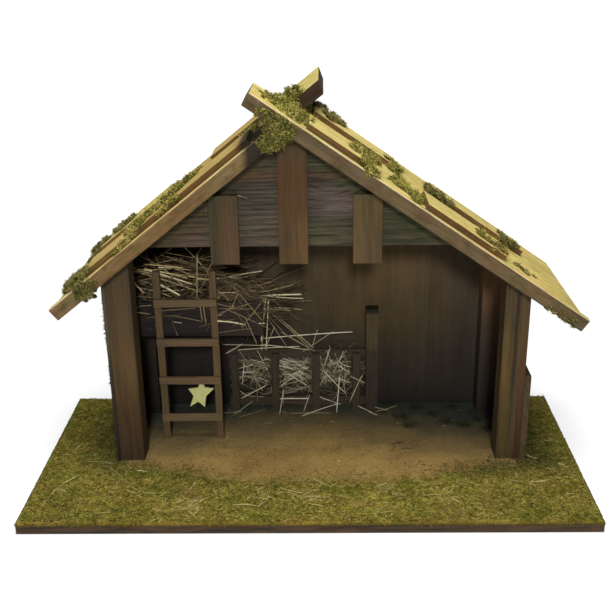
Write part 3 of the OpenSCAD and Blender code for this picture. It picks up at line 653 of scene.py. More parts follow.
def make_grass():
    rng = np.random.default_rng(21)
    fibres = grass_material("grass_fibres", True)

    def inset(x, y):
        return is_grass(x, y) & (np.abs(x) < INSET_W - 0.5) & (np.abs(y) < INSET_D - 0.5)

    def near_grass(x, y):
        chance = np.exp(-np.maximum(y - earth_edge(x), 0) / 7.0)
        return is_earth(x, y) & (y < FRONT_Y + 6) & (rng.random(x.shape) < chance)

    n = 30000
    p = scatter(rng, n, -INSET_W, INSET_W, -INSET_D, INSET_D, inset)
    length = rng.uniform(3.0, 8.5, n)
    turn = rng.uniform(0, math.tau, n)
    rise = rng.uniform(0.12, 0.75, n)
    # Taller fibres in tufts
    tall = rough_field(p[:, 0], p[:, 1], 16.0, 9, 2) > 0.22
    rise[tall] += 0.4
    length[tall] *= 1.15
    way = outward(turn, rise)
    tip = p + way[:, :2] * length[:, None]
    way[(np.abs(tip[:, 0]) > INSET_W) | (np.abs(tip[:, 1]) > INSET_D), :2] *= -1
    swing = rng.uniform(-0.6, 0.6, n)
    bend = np.column_stack([-np.sin(turn) * swing, np.cos(turn) * swing, -rise * 0.55])
    root = np.column_stack([p, GRASS_Z - 0.3 + rng.uniform(0, 1.2, n)])
    tone = rng.beta(1.5, 1.7, n)
    tone[rng.random(n) < 0.06] = 1.0
    width = rng.uniform(0.45, 1.05, n)
    front, left = p[:, 1] < FRONT_Y - 10, p[:, 0] < 0
    for name, part in (("front_left", front & left), ("front_right", front & ~left),
                       ("sides", ~front)):
        stalks = [value[part] for value in (root, way, length, width, bend)]
        plant("grass_fibres_" + name, fibres, "grass", stalks, tone[part])

    # Fringe that hangs over the edge of the board: how many, whether on a long side, which end
    root, way, drop = [], [], []
    for n, is_long, end in ((3600, True, -1), (1500, False, 1), (1500, False, -1),
                            (2400, True, 1)):
        reach, edge = (HALF_W, HALF_D) if is_long else (HALF_D, HALF_W)
        order = [0, 1, 2] if is_long else [1, 0, 2]
        t = rng.uniform(-reach, reach, n)
        z = rng.uniform(BASE_T - 0.4, GRASS_Z + 0.6, n)
        root.append(np.column_stack([t, np.full(n, (edge - 0.5) * end), z])[:, order])
        slide, push = rng.normal(0, 0.7, n), rng.uniform(0.25, 0.7, n)
        down = -rng.uniform(0.3, 1.0, n)
        way.append(np.column_stack([slide, push * end, down])[:, order])
        ragged = 0.55 + 0.45 * np.sin(t * 0.09) * np.sin(t * 0.031 + 1.0)
        drop.append(np.minimum(1.0 + rng.gamma(2.0, 0.45, n) * ragged, 4.0))
    root, way, drop = np.concatenate(root), np.concatenate(way), np.concatenate(drop)
    n = len(root)
    plant("grass_fringe", fibres, "grass", (
        root, way, drop, rng.uniform(0.6, 1.3, n), upright(np.full(n, -0.35))),
        0.75 * rng.beta(1.4, 1.9, n))

    # Fibres that have drifted over the front of the earth
    n = 2600
    p = scatter(rng, n, HOUSE_L + 6, HOUSE_R - 6, EARTH_Y0, FRONT_Y + 6, near_grass)
    way = outward(rng.uniform(0, math.tau, n), rng.uniform(0.05, 0.35, n))
    plant("grass_drift", fibres, "grass", (
        raised(p, FLOOR_Z + 0.5), way, rng.uniform(2.5, 6.5, n), rng.uniform(0.45, 0.9, n),
        upright(-way[:, 2] * 0.7)), rng.beta(2.0, 2.4, n))

    # Small tufts at the back of the room
    n = 1500
    spots = np.array([(90, 100), (112, 84), (132, 108), (150, 92), (166, 72), (186, 64),
                      (204, 96), (214, 54), (176, 108), (120, 62), (206, 76), (98, 118)], float)
    p = spots[rng.integers(0, len(spots), n)] + rng.normal(0, 4.5, (n, 2))
    p = p[is_earth(p[:, 0], p[:, 1]) & (p[:, 1] < 121) & (p[:, 0] < 228)]
    n = len(p)
    way = outward(rng.uniform(0, math.tau, n), rng.uniform(0.1, 0.9, n))
    plant("room_tufts", fibres, "grass", (
        raised(p, FLOOR_Z + 0.4), way, rng.uniform(2.0, 6.0, n), rng.uniform(0.5, 1.0, n),
        upright(-way[:, 2] * 0.5)), rng.uniform(0.0, 0.22, n))

    # Short fibres on the outside of the left wall, most of them near its front
    n = 1500
    y = FRONT_Y + rng.gamma(1.0, 16.0, n)
    z = rng.uniform(GRASS_Z, 222, n)
    keep = (y < WALL_BACK - 2) & (rough_field(y, z, 22.0, 12, 2) > -0.25)
    n = keep.sum()
    way = np.column_stack([
        -rng.uniform(0.25, 1.0, n), rng.normal(0, 0.6, n), rng.normal(-0.2, 0.6, n)])
    plant("left_wall_moss", fibres, "moss", (
        np.column_stack([np.full(n, WALL_L + 0.3), y[keep], z[keep]]), way,
        rng.uniform(1.2, 4.0, n), rng.uniform(0.5, 1.0, n), rng.normal(0, 0.3, (n, 3))),
        rng.uniform(0.0, 0.55, n))


def make_grains():
    """Loose sawdust on the earth: small skewed octahedra."""
    rng = np.random.default_rng(31)
    n = 9000
    p = scatter(rng, n, HOUSE_L + 2, HOUSE_R - 6, EARTH_Y0 + 2, BACK_Y - 2, is_earth)
    size = rng.uniform(0.35, 0.95, n)
    corners = np.array([[1, 0, 0], [-1, 0, 0], [0, 1, 0], [0, -1, 0], [0, 0, 1], [0, 0, -1]],
                       float)
    local = corners[None] * (rng.uniform(0.45, 1.3, (n, 6, 1)) * size[:, None, None])
    turn = rng.uniform(0, math.tau, n)
    c, s = np.cos(turn)[:, None], np.sin(turn)[:, None]
    x = local[:, :, 0] * c - local[:, :, 1] * s
    y = local[:, :, 0] * s + local[:, :, 1] * c
    z = local[:, :, 2] * 0.6 + (FLOOR_Z + 0.3 + 0.6 * past_front(p[:, 1]))[:, None]
    points = np.stack([x + p[:, :1], y + p[:, 1:], z], -1)
    tri = np.array([(0, 2, 4), (2, 1, 4), (1, 3, 4), (3, 0, 4),
                    (2, 0, 5), (1, 2, 5), (3, 1, 5), (0, 3, 5)])
    faces = (tri[None] + (np.arange(n) * 6)[:, None, None]).reshape(-1, 3)
    build("earth_grains", points.reshape(-1, 3), [faces], earth_material("earth_grains", True),
          "earth", tone=np.repeat(rng.beta(2.2, 2.2, n), 6))


# ---------------------------------------------------------------- straw
def straw_pile(name, material, rng, middle, yaw, tilt, length, width, tone, sag, replaces=(),
               sides=5, rings=7, curl=0.05):
    """Loose stalks, each from its middle point, its direction, and how far it sags."""
    n = len(middle)
    way = np.column_stack([np.cos(yaw) * np.cos(tilt), np.sin(yaw) * np.cos(tilt), np.sin(tilt)])
    side = np.column_stack([-np.sin(yaw), np.cos(yaw), np.zeros(n)])
    bend = side * rng.normal(0, curl, n)[:, None] + upright(-sag)
    root = middle - (way * 0.5 + bend * 0.25) * length[:, None]
    plant(name, material, "straw", (root, way, length, width, bend), tone, replaces, smooth=True,
          sides=sides, rings=rings, flat=0.7, pointed=False, spin=rng.uniform(0, math.pi, n))


def columns(rows):
    return rows[:, :3], *rows[:, 3:].T


def shorter(length, room, share, least, shortest):
    """Cuts stalks so that the share of them that runs across a room of this half width fits."""
    return np.minimum(length, np.maximum(room * 2 / np.maximum(np.abs(share), least), shortest))


def make_loft_straw(rng, warm):
    # A loose heap on the loft floor
    n = 560
    x = rng.uniform(-204, -40, n)
    y = rng.uniform(50, 116, n)
    crown = np.interp(x, [-206, -176, -147, -119, -96, -74, -40, -14],
                      [60, 76, 80, 76, 62, 48, 30, 14])
    z = LOFT_Z + rng.uniform(0.05, 1.0, n) ** 0.9 * crown
    length = rng.uniform(34, 104, n)
    yaw = rng.normal(0, 0.42, n) + np.where(rng.random(n) < 0.5, math.pi, 0.0)
    tilt = rng.normal(-0.05, 0.30, n)
    length = shorter(length, x - HOUSE_L - 3, np.cos(yaw), 0.2, 24)
    length = shorter(length, np.minimum(y - 36, 124 - y), np.sin(yaw), 0.15, 20)
    tone = np.clip(rng.gamma(1.7, 0.17, n) * np.interp(x, [-130, -80], [1.0, 0.72]), 0, 1)
    straw_pile("loft_straw_heap", warm, rng, np.column_stack([x, y, z]), yaw, tilt, length,
               rng.uniform(0.55, 1.35, n), tone, rng.uniform(-0.14, 0.20, n), ["loft_straw"],
               curl=0.16)
    # Stalks that stand up from the heap, and more that hang over the front board and the open end
    n = 260
    x = np.concatenate([rng.uniform(-108, -44, 200), rng.uniform(-205, -108, 60)])
    y = rng.uniform(LOFT_FRONT - 0.5, 62, n)
    z = np.where(y < 47, 158 + 38 * rng.random(n) ** 0.7, rng.uniform(176, 204, n))
    hanging = np.column_stack([
        x, y, z, rng.normal(0, 0.08, n), rng.normal(-0.15, 0.55, n), rng.uniform(10, 40, n),
        rng.uniform(0.5, 1.1, n), np.clip(rng.gamma(2.0, 0.15, n), 0, 0.85)])
    hanging[:, 5] = np.minimum(hanging[:, 5], (x - HOUSE_L - 2) * 1.6)
    rows = np.concatenate([np.array(LOFT_STALKS, float), hanging])
    straw_pile("loft_straw_loose", warm, rng, *columns(rows), rng.normal(0.02, 0.045, len(rows)),
               sides=6, rings=9, curl=0.08)


def make_rack_straw(rng, pale):
    # Behind the rails
    n = 420
    x = rng.uniform(-94, 58, n)
    z = FLOOR_Z + 6 + rng.random(n) ** 0.4 * (60 + 6 * np.sin(x * 0.06))
    y = rng.uniform(114.5, 122.5, n)
    length = rng.uniform(24, 66, n)
    yaw = rng.normal(0, 0.05, n)
    tilt = rng.normal(0, 0.5, n)
    length = shorter(length, np.minimum(x + 101, 71 - x), np.cos(tilt), 0.2, 18)
    length = shorter(length, z - FLOOR_Z, np.sin(tilt), 0.12, 14)
    straw_pile("rack_straw_heap", pale, rng, np.column_stack([x, y, z]), yaw, tilt, length,
               rng.uniform(0.5, 1.1, n), np.clip(rng.gamma(1.8, 0.17, n), 0, 1),
               rng.uniform(-0.16, 0.16, n), ["rack_straw"], curl=0.16)
    # Between the slats, most of it in the upper half
    found = []
    for left, right in ((-88.5, -51.0), (-38.5, -1.0), (11.5, 49.0)):
        for k in range(84):
            room = right - left
            size = rng.uniform(10, room * 1.1)
            lean = rng.normal(0, 0.6 if k % 2 else 0.9)
            flat = min(size * abs(math.cos(lean)), room - 2)
            z = rng.uniform(56, 83) if k % 7 else rng.uniform(22, 56)
            found.append((
                left + flat / 2 + max(room - flat, 1) * rng.beta(0.6, 0.6),
                rng.uniform(97, 106.5), z, rng.normal(0, 0.04), lean,
                min(size, (room - 1) / max(abs(math.cos(lean)), 0.3),
                    2 * (z - FLOOR_Z) / max(abs(math.sin(lean)), 0.2))))
    found = np.array(found)
    n, x, z = len(found), found[:, 0], found[:, 2]
    width = rng.uniform(0.5, 1.15, n)
    # Paler in the upper half and in the middle gap, and darker in the left one
    shade = np.where(z > 54, 0.58, 0.36) - 0.14 * (x < -45) + 0.08 * ((x > -45) & (x < 5))
    tone = np.clip(shade + rng.normal(-0.12, 0.29, n), 0, 1)
    thinner = (1, 1, 1, 1, 1, 1, 0.85, 1)
    single = np.array(RACK_STALKS) * thinner
    rows = np.concatenate([np.column_stack([found, width, tone]), single])
    sag = np.concatenate([rng.uniform(-0.3, 0.32, n), rng.uniform(-0.015, 0.02, len(single))])
    straw_pile("rack_straw_loose", pale, rng, *columns(rows), sag, rings=8, curl=0.1)


def make_straw():
    warm, pale, golden = (
        straw_material(name) for name in ("straw_warm", "straw_pale", "straw_golden"))
    rng = np.random.default_rng(41)
    make_loft_straw(rng, warm)
    make_rack_straw(rng, pale)
    # Bits of straw on the grass, most of them in a few bunches
    rng = np.random.default_rng(43)
    bunches = np.array([(-121, -112), (-128, -104), (-45, -94), (-48, -88), (-4, -88), (2, -94),
                        (82, -80), (-267, -79), (-180, -84), (150, -96), (236, -60)], float)
    n = 96
    near = bunches[rng.integers(0, len(bunches), n)] + rng.normal(0, 7, (n, 2))
    wide = scatter(rng, 70, -290, 290, -132, 134, is_grass)
    p = np.concatenate([near[is_grass(near[:, 0], near[:, 1])], wide])
    n = len(p)
    length = rng.uniform(5, 18, n) * np.where(rng.random(n) < 0.12, 1.7, 1.0)
    yaw = rng.uniform(0, math.pi, n)
    reach = np.minimum(INSET_W - np.abs(p[:, 0]), INSET_D - np.abs(p[:, 1]))
    length = np.minimum(length, reach * 1.9)
    z = GRASS_Z + rng.uniform(0.8, 2.4, n)
    # Long ones: x, y, length, turn
    single = np.array([(-238, -23, 30, 0.02), (-262, -60, 22, 0.8), (-20, -84, 26, -0.6),
                       (-116, -106, 24, 0.7), (84, -84, 20, 1.2), (-52, -98, 22, 2.6)], float)
    places = np.concatenate([
        np.column_stack([p, z]), raised(single[:, :2], GRASS_Z + 3.0)])
    length = np.concatenate([length, single[:, 2]])
    yaw = np.concatenate([yaw, single[:, 3]])
    n = len(places)
    straw_pile("straw_on_grass", golden, rng, places, yaw, rng.normal(0, 0.06, n), length,
               rng.uniform(0.35, 0.85, n), np.clip(rng.normal(0.66, 0.14, n), 0, 0.9),
               rng.uniform(-0.2, 0.2, n), ["grass_straw"], rings=6, curl=0.14)
    n = 90
    p = scatter(rng, n, -180, 200, -64, 112, is_earth)
    straw_pile("straw_on_earth", warm, rng, raised(p, FLOOR_Z + 1.2),
               rng.uniform(0, math.pi, n), rng.normal(0, 0.02, n), rng.uniform(2, 11, n),
               rng.uniform(0.4, 0.9, n), np.clip(rng.normal(0.35, 0.2, n), 0, 1),
               np.full(n, 0.01), rings=4)
    straw_pile("twigs_and_wisps", warm, rng, *columns(np.array(TWIGS, float)),
               np.full(len(TWIGS), 0.12))


# ---------------------------------------------------------------- moss
def slope_frame(left):
    """Origin, and the down-slope, depth and outward axes of a slope."""
    a, k = (PITCH_LEFT, -1.0) if left else (PITCH_RIGHT, 1.0)
    return np.array([RIDGE_X, 0, RIDGE_Z]), np.array([
        [k * math.cos(a), 0, -math.sin(a)], [0, 1.0, 0], [k * math.sin(a), 0, math.cos(a)]])


def in_boards(p):
    """True for points inside a roof board, a slat, or the room under the roof."""
    inside = np.zeros(len(p), bool)
    under = (p[:, 1] > ROOF_Y0 + 1) & (p[:, 1] < ROOF_Y1)
    for left, reach, slats in ((False, RIGHT_REACH, RIGHT_SLATS), (True, LEFT_REACH, LEFT_SLATS)):
        origin, axes = slope_frame(left)
        u, y, w = ((p - origin) @ axes.T).T
        # The right front board and the left back board run on past the ridge
        start = np.where((y >= SEAM_Y) == left, -CROSS_REACH, 0.0)
        inside |= ((u > start) & (u < reach) & (y > ROOF_Y0) & (y < ROOF_Y1)
                   & (w > 0) & (w < ROOF_T))
        for a, b, (y0, y1) in slats:
            inside |= ((u > a * reach) & (u < b * reach) & (y > y0) & (y < y1)
                       & (w > ROOF_T) & (w < ROOF_TOP))
        under &= w < 0.5
    return inside | under


class Cushions:
    """A group of lumpy cushions of moss, each an ellipsoid that is sunk in what carries it."""

    def __init__(self, seed):
        self.rng = np.random.default_rng(seed)
        self.balls = []

    def add(self, rows, shape, left=None):
        """Rows of place and radius, on a slope if left is given, and else upright."""
        origin, axes = (np.zeros(3), np.eye(3)) if left is None else slope_frame(left)
        for *place, radius in rows:
            self.balls.append((origin + np.array(place) @ axes, axes, radius * np.array(shape)))

    def patches(self, rng, left, rows):
        """Small cushions over ellipses on a slope. Rows of the middle's place down the slope,
        in depth and in height, the spread down and across, the thickness and how many."""
        origin, axes = slope_frame(left)
        for u, y, w, down, across, thick, n in rows:
            for _ in range(n):
                a, r = rng.uniform(0, math.tau), math.sqrt(rng.random())
                place = (u + down * r * math.cos(a), y + across * r * math.sin(a), w)
                size = 5.4 * rng.uniform(0.7, 1.3)
                radii = np.array([size, size, thick * rng.uniform(0.65, 1.2)])
                self.balls.append((origin + np.array(place) @ axes, axes, radii))

    def buried(self, p, own):
        """True where a point lies well inside another cushion."""
        hidden = np.zeros(len(p), bool)
        for k, (middle, axes, radii) in enumerate(self.balls):
            if k != own:
                q = ((p - middle) @ axes.T) / (radii * 0.86)
                hidden |= (q ** 2).sum(1) < 1
        return hidden

    def make(self, name, material, replaces=(), density=0.62, longest=3.4):
        self.make_core(name + "_core", material, replaces)
        self.make_leaves(name + "_leaves", material, density, longest)

    def make_core(self, name, material, replaces):
        """Dark lumpy bodies under the leaves."""
        ball = bmesh.new()
        bmesh.ops.create_icosphere(ball, subdivisions=3, radius=1.0)
        round_v = np.array([v.co for v in ball.verts])
        round_f = np.array([[v.index for v in f.verts] for f in ball.faces])
        ball.free()
        verts, faces = [], []
        for middle, axes, radii in self.balls:
            v = round_v * (0.80 + 0.10 * self.rng.normal(size=(len(round_v), 1)))
            faces.append(round_f + len(verts) * len(round_v))
            verts.append(middle + (v * radii) @ axes)
        verts = np.concatenate(verts)
        n = len(verts)
        build(name, verts, [np.concatenate(faces)], material, "moss", replaces, smooth=True,
              tone=self.rng.uniform(0.0, 0.5, n), along=np.full(n, 0.1))

    def make_leaves(self, name, material, density, longest):
        """Fine and coarse curled strands over every cushion."""
        rng = self.rng
        roots, ways, shades = [], [], []
        for k, (middle, axes, radii) in enumerate(self.balls):
            n = int(4 * math.pi * np.prod(radii) ** (2 / 3) * density)
            d = unit(rng.normal(size=(n, 3)))
            p = middle + (d * radii * rng.uniform(0.70, 1.0, (n, 1))) @ axes
            keep = ~self.buried(p, k) & ~in_boards(p)
            roots.append(p[keep])
            ways.append(unit((d / radii) @ axes)[keep])
            shades.append(np.full(keep.sum(), rng.normal(0, 0.16)))
        root, way, shade = np.concatenate(roots), np.concatenate(ways), np.concatenate(shades)
        n = len(root)
        coarse = rng.random(n) < 0.40
        length = np.where(coarse, rng.uniform(2.2, longest * 1.3, n), rng.uniform(1.5, longest, n))
        width = np.where(coarse, rng.uniform(0.8, 1.6, n), rng.uniform(0.45, 0.85, n))
        way = unit(way * 0.5 + rng.normal(0, 0.72, (n, 3)))
        stray = rng.random(n) < 0.02
        length[stray] *= 2.0
        width[stray] = 0.7
        # A leaf that would run into the roof turns away from it
        bad = in_boards(root + way * length[:, None])
        out = np.where(root[bad, :1] > RIDGE_X, [UP_RIGHT], [UP_LEFT])
        way[bad] = unit(way[bad] * 0.3 + out)
        bend = rng.normal(0, 0.45, (n, 3))
        bend[:, 2] -= 0.12
        spin = rng.uniform(0, math.pi, n)
        tone = np.clip(rng.normal(0.47, 0.30, n) + shade + np.where(coarse, 0.06, 0.0), 0, 1)
        plant(name, material, "moss", (root, way, length, width, bend), tone, rings=4, flat=0.5,
              spin=spin)


def make_moss():
    # Moss without shade, with heavy painted shade, and with light painted shade
    fresh, shaded, lightly_shaded = (moss_material(name, share) for name, share in (
        ("moss", 0.0), ("moss_shaded", 0.75), ("moss_lightly_shaded", 0.3)))
    rng = np.random.default_rng(51)
    group = Cushions(52)
    group.patches(rng, False, [
        (80, -4, 22, 17, 22, 4.0, 17), (88, -26, 19, 12, 6, 3.5, 7), (88, -36, 15, 9, 3, 3.0, 5),
        (118, 58, 19, 13, 13, 5.0, 12), (128, 18, 15, 9, 9, 4.0, 5), (136, -4, 15, 19, 13, 5.0, 19),
        (150, -22, 15, 9, 8, 4.0, 6), (240, -10, 21, 19, 16, 3.6, 16), (246, -26, 20, 9, 4, 3.0, 4),
    ])
    group.make("right_moss", fresh, ["right_slope_moss"])
    # Behind the front slats, and tufts on the lower edge of the right eave
    group = Cushions(56)
    group.patches(rng, False, [
        (34, 88, 22, 20, 22, 4.0, 13), (180, 58, 21, 18, 16, 3.4, 13),
        (279, 64, 21, 13, 14, 3.2, 9), (290, -12, 14.5, 17, 10, 1.6, 8),
    ])
    group.patches(rng, True, [(240, 78, 21, 30, 15, 4.4, 18), (268, 62, 16, 10, 10, 4.0, 4)])
    spread = np.random.default_rng(58)
    n = 34
    low = 6.5 * spread.random(n) ** 1.6
    group.add(np.column_stack([
        spread.uniform(318, 358, n), np.full(n, ROOF_Y0 - 0.2), low, spread.uniform(0.8, 1.5, n),
    ]), (1.9, 0.7, 1.0), False)
    group.make("back_moss", shaded, longest=3.0)
    group = Cushions(53)
    group.patches(rng, True, [
        (40, 42, 15, 9, 15, 4.5, 6), (130, 10, 22, 25, 16, 4.5, 21), (130, 34, 16, 24, 12, 5.5, 13),
        (112, 48, 16, 10, 10, 5.0, 5), (176, -12, 22, 24, 13, 4.0, 18),
        (146, -28, 19, 20, 4, 3.0, 8), (190, -28, 19, 22, 4, 3.0, 9), (206, -35, 16, 12, 2, 2.0, 4),
    ])
    group.make("left_moss", fresh, ["left_slope_moss"])
    # Left eave: a mass that hangs under its front edge, and a thin layer and a mound on the board
    group = Cushions(54)
    group.add([
        (-239, -41, 228, 3.5), (-234, -42, 228, 4), (-228, -42, 230, 4.5), (-222, -42, 233, 4),
        (-218, -41, 238, 3), (-236, -42, 222, 3.5), (-230, -42, 223, 4), (-224, -42, 226, 4),
        (-219, -41, 230, 3), (-236, -42, 234, 3), (-230, -42, 237, 3), (-224, -42, 240, 2.5),
        (-231, -40, 219, 2.5), (-225, -40, 221, 2.5), (-232, -30, 214, 3), (-224, -26, 217, 3.5),
    ], (1, 0.55, 0.9))
    group.add([
        (250, -32, 20, 3.5), (257, -35, 18, 4), (264, -36, 16, 4), (271, -36, 15.5, 4),
        (278, -35, 15.5, 4), (254, -22, 22, 3.5), (263, -24, 17, 4), (272, -22, 16.5, 4.5),
        (281, -22, 16, 4), (288, -24, 15, 3), (268, -10, 16.5, 4), (278, -8, 16, 4),
        (286, -8, 15.5, 3), (292, 4, 15, 3), (282, 8, 16, 4), (272, 10, 16, 4),
        (293, 18, 15.5, 2.6), (288, 24, 15, 2.8), (278, 26, 15.5, 3), (294, 26, 15, 2.4),
        (274, -31, 20, 4), (280, -24, 20, 4.5), (286, -13, 20.5, 4.5), (291, 0, 19, 4.2),
        (293, 12, 18, 3.8), (270, -24, 21, 4), (276, -12, 21, 4.5), (282, 0, 20.5, 4.5),
        (262, -14, 21, 4), (289, -21, 17, 3.6), (292, -10, 16.5, 3.4), (266, -4, 20.5, 4),
        (273, 6, 20, 4), (284, 14, 18.5, 4),
    ], (1, 0.95, 0.6), True)
    group.make("eave_moss", shaded, ["left_eave_moss"], 0.75, 2.9)
    # Ridge: a flat mass in front of the crossing
    group = Cushions(57)
    group.add([(x, ROOF_Y0 - 1, z, r) for x, z, r in [
        (-37, 394, 3.5), (-31, 395, 4.0), (-25, 395, 4.0), (-19, 394, 4.0), (-14, 392, 3.5),
        (-37, 387, 4.5), (-31, 388, 4.5), (-25, 388, 4.5), (-19, 389, 4.5), (-13, 388, 3.5),
        (-44, 379, 3.0), (-38, 380, 4.5), (-32, 381, 4.5), (-26, 382, 4.5), (-20, 384, 4.0),
        (-14, 384, 3.0), (-41, 374, 3.0), (-35, 374, 4.0), (-29, 376, 4.0), (-23, 379, 3.5),
        (-40, 410, 2.0), (-37, 405, 2.4), (-33, 406, 2.2), (-30, 401, 2.6), (-35, 400, 3.0),
        (-41, 402, 2.4), (-25, 400, 2.6), (-46, 407, 1.8), (-20, 399, 2.4), (-36, 411, 2.6),
        (-31, 408, 3.0), (-27, 405, 3.0), (-22, 404, 2.6), (-18, 401, 2.8), (-13, 398, 2.4),
        (-24, 397, 3.0), (-44, 412, 1.8), (-10, 394, 2.2),
    ]], (1, 0.6, 0.9))
    group.make("ridge_front", lightly_shaded, (), 0.75, 3.0)
    # Ridge: on the front board behind its edge, and a mound on the board behind
    group = Cushions(55)
    group.add([
        (-34, -8, 15, 4.5), (-32, 6, 15, 5), (-26, -19, 15, 4.5), (-25, -6, 16, 5.5),
        (-25, 6, 16, 6), (-24, 17, 17, 6.5), (-17, -24, 15, 4.5), (-16, -11, 17, 5.5),
        (-15, 2, 18, 6.5), (-14, 14, 19, 6.5), (-7, -27, 15, 4.5), (-6, -14, 17, 5.5),
        (-5, 0, 18, 6.5), (-5, 13, 19, 7), (3, -26, 14.5, 4), (4, -12, 16, 5), (5, 2, 17, 5.5),
        (6, 15, 18, 5.5), (12, -20, 15, 3.5), (14, -6, 17, 3.5), (14, 16, 17, 4.5),
        (15, -24, 19, 3.0), (16, -14, 20, 3.2), (16, -4, 20, 3.2), (17, 6, 20, 3.0),
        (-38, -22, 15, 3.0), (-40, -2, 15, 3.0), (-36, 18, 15, 3.0),
    ], (1, 0.95, 0.7), False)
    group.add([
        (-28, 26, 410, 5.5), (-20, 27, 413, 6.5), (-12, 28, 415, 6.5), (-5, 30, 416, 5.5),
        (-24, 36, 406, 6), (-15, 36, 410, 6.5), (-7, 37, 414, 6), (-17, 28, 420, 4.5),
        (-10, 30, 422, 4.0), (0, 32, 417, 4.5), (-30, 30, 405, 5),
    ], (1, 0.9, 0.85))
    group.make("ridge_moss", fresh, ["ridge_moss"], 0.66)


# ---------------------------------------------------------------- wood
def dress(name, material, edge):
    """Gives a packed board its material, joins its flat faces and rounds its edges a little."""
    obj = NODES[name]
    obj.data.materials.clear()
    obj.data.materials.append(material)
    weld = obj.modifiers.new("weld", "WELD")
    weld.merge_threshold = 1e-6
    flat = obj.modifiers.new("flat", "DECIMATE")
    flat.decimate_type = "DISSOLVE"
    flat.angle_limit = math.radians(0.5)
    bevel = obj.modifiers.new("bevel", "BEVEL")
    bevel.width = edge * MM
    bevel.segments = 2
    bevel.limit_method = "ANGLE"
    bevel.angle_limit = math.radians(25)


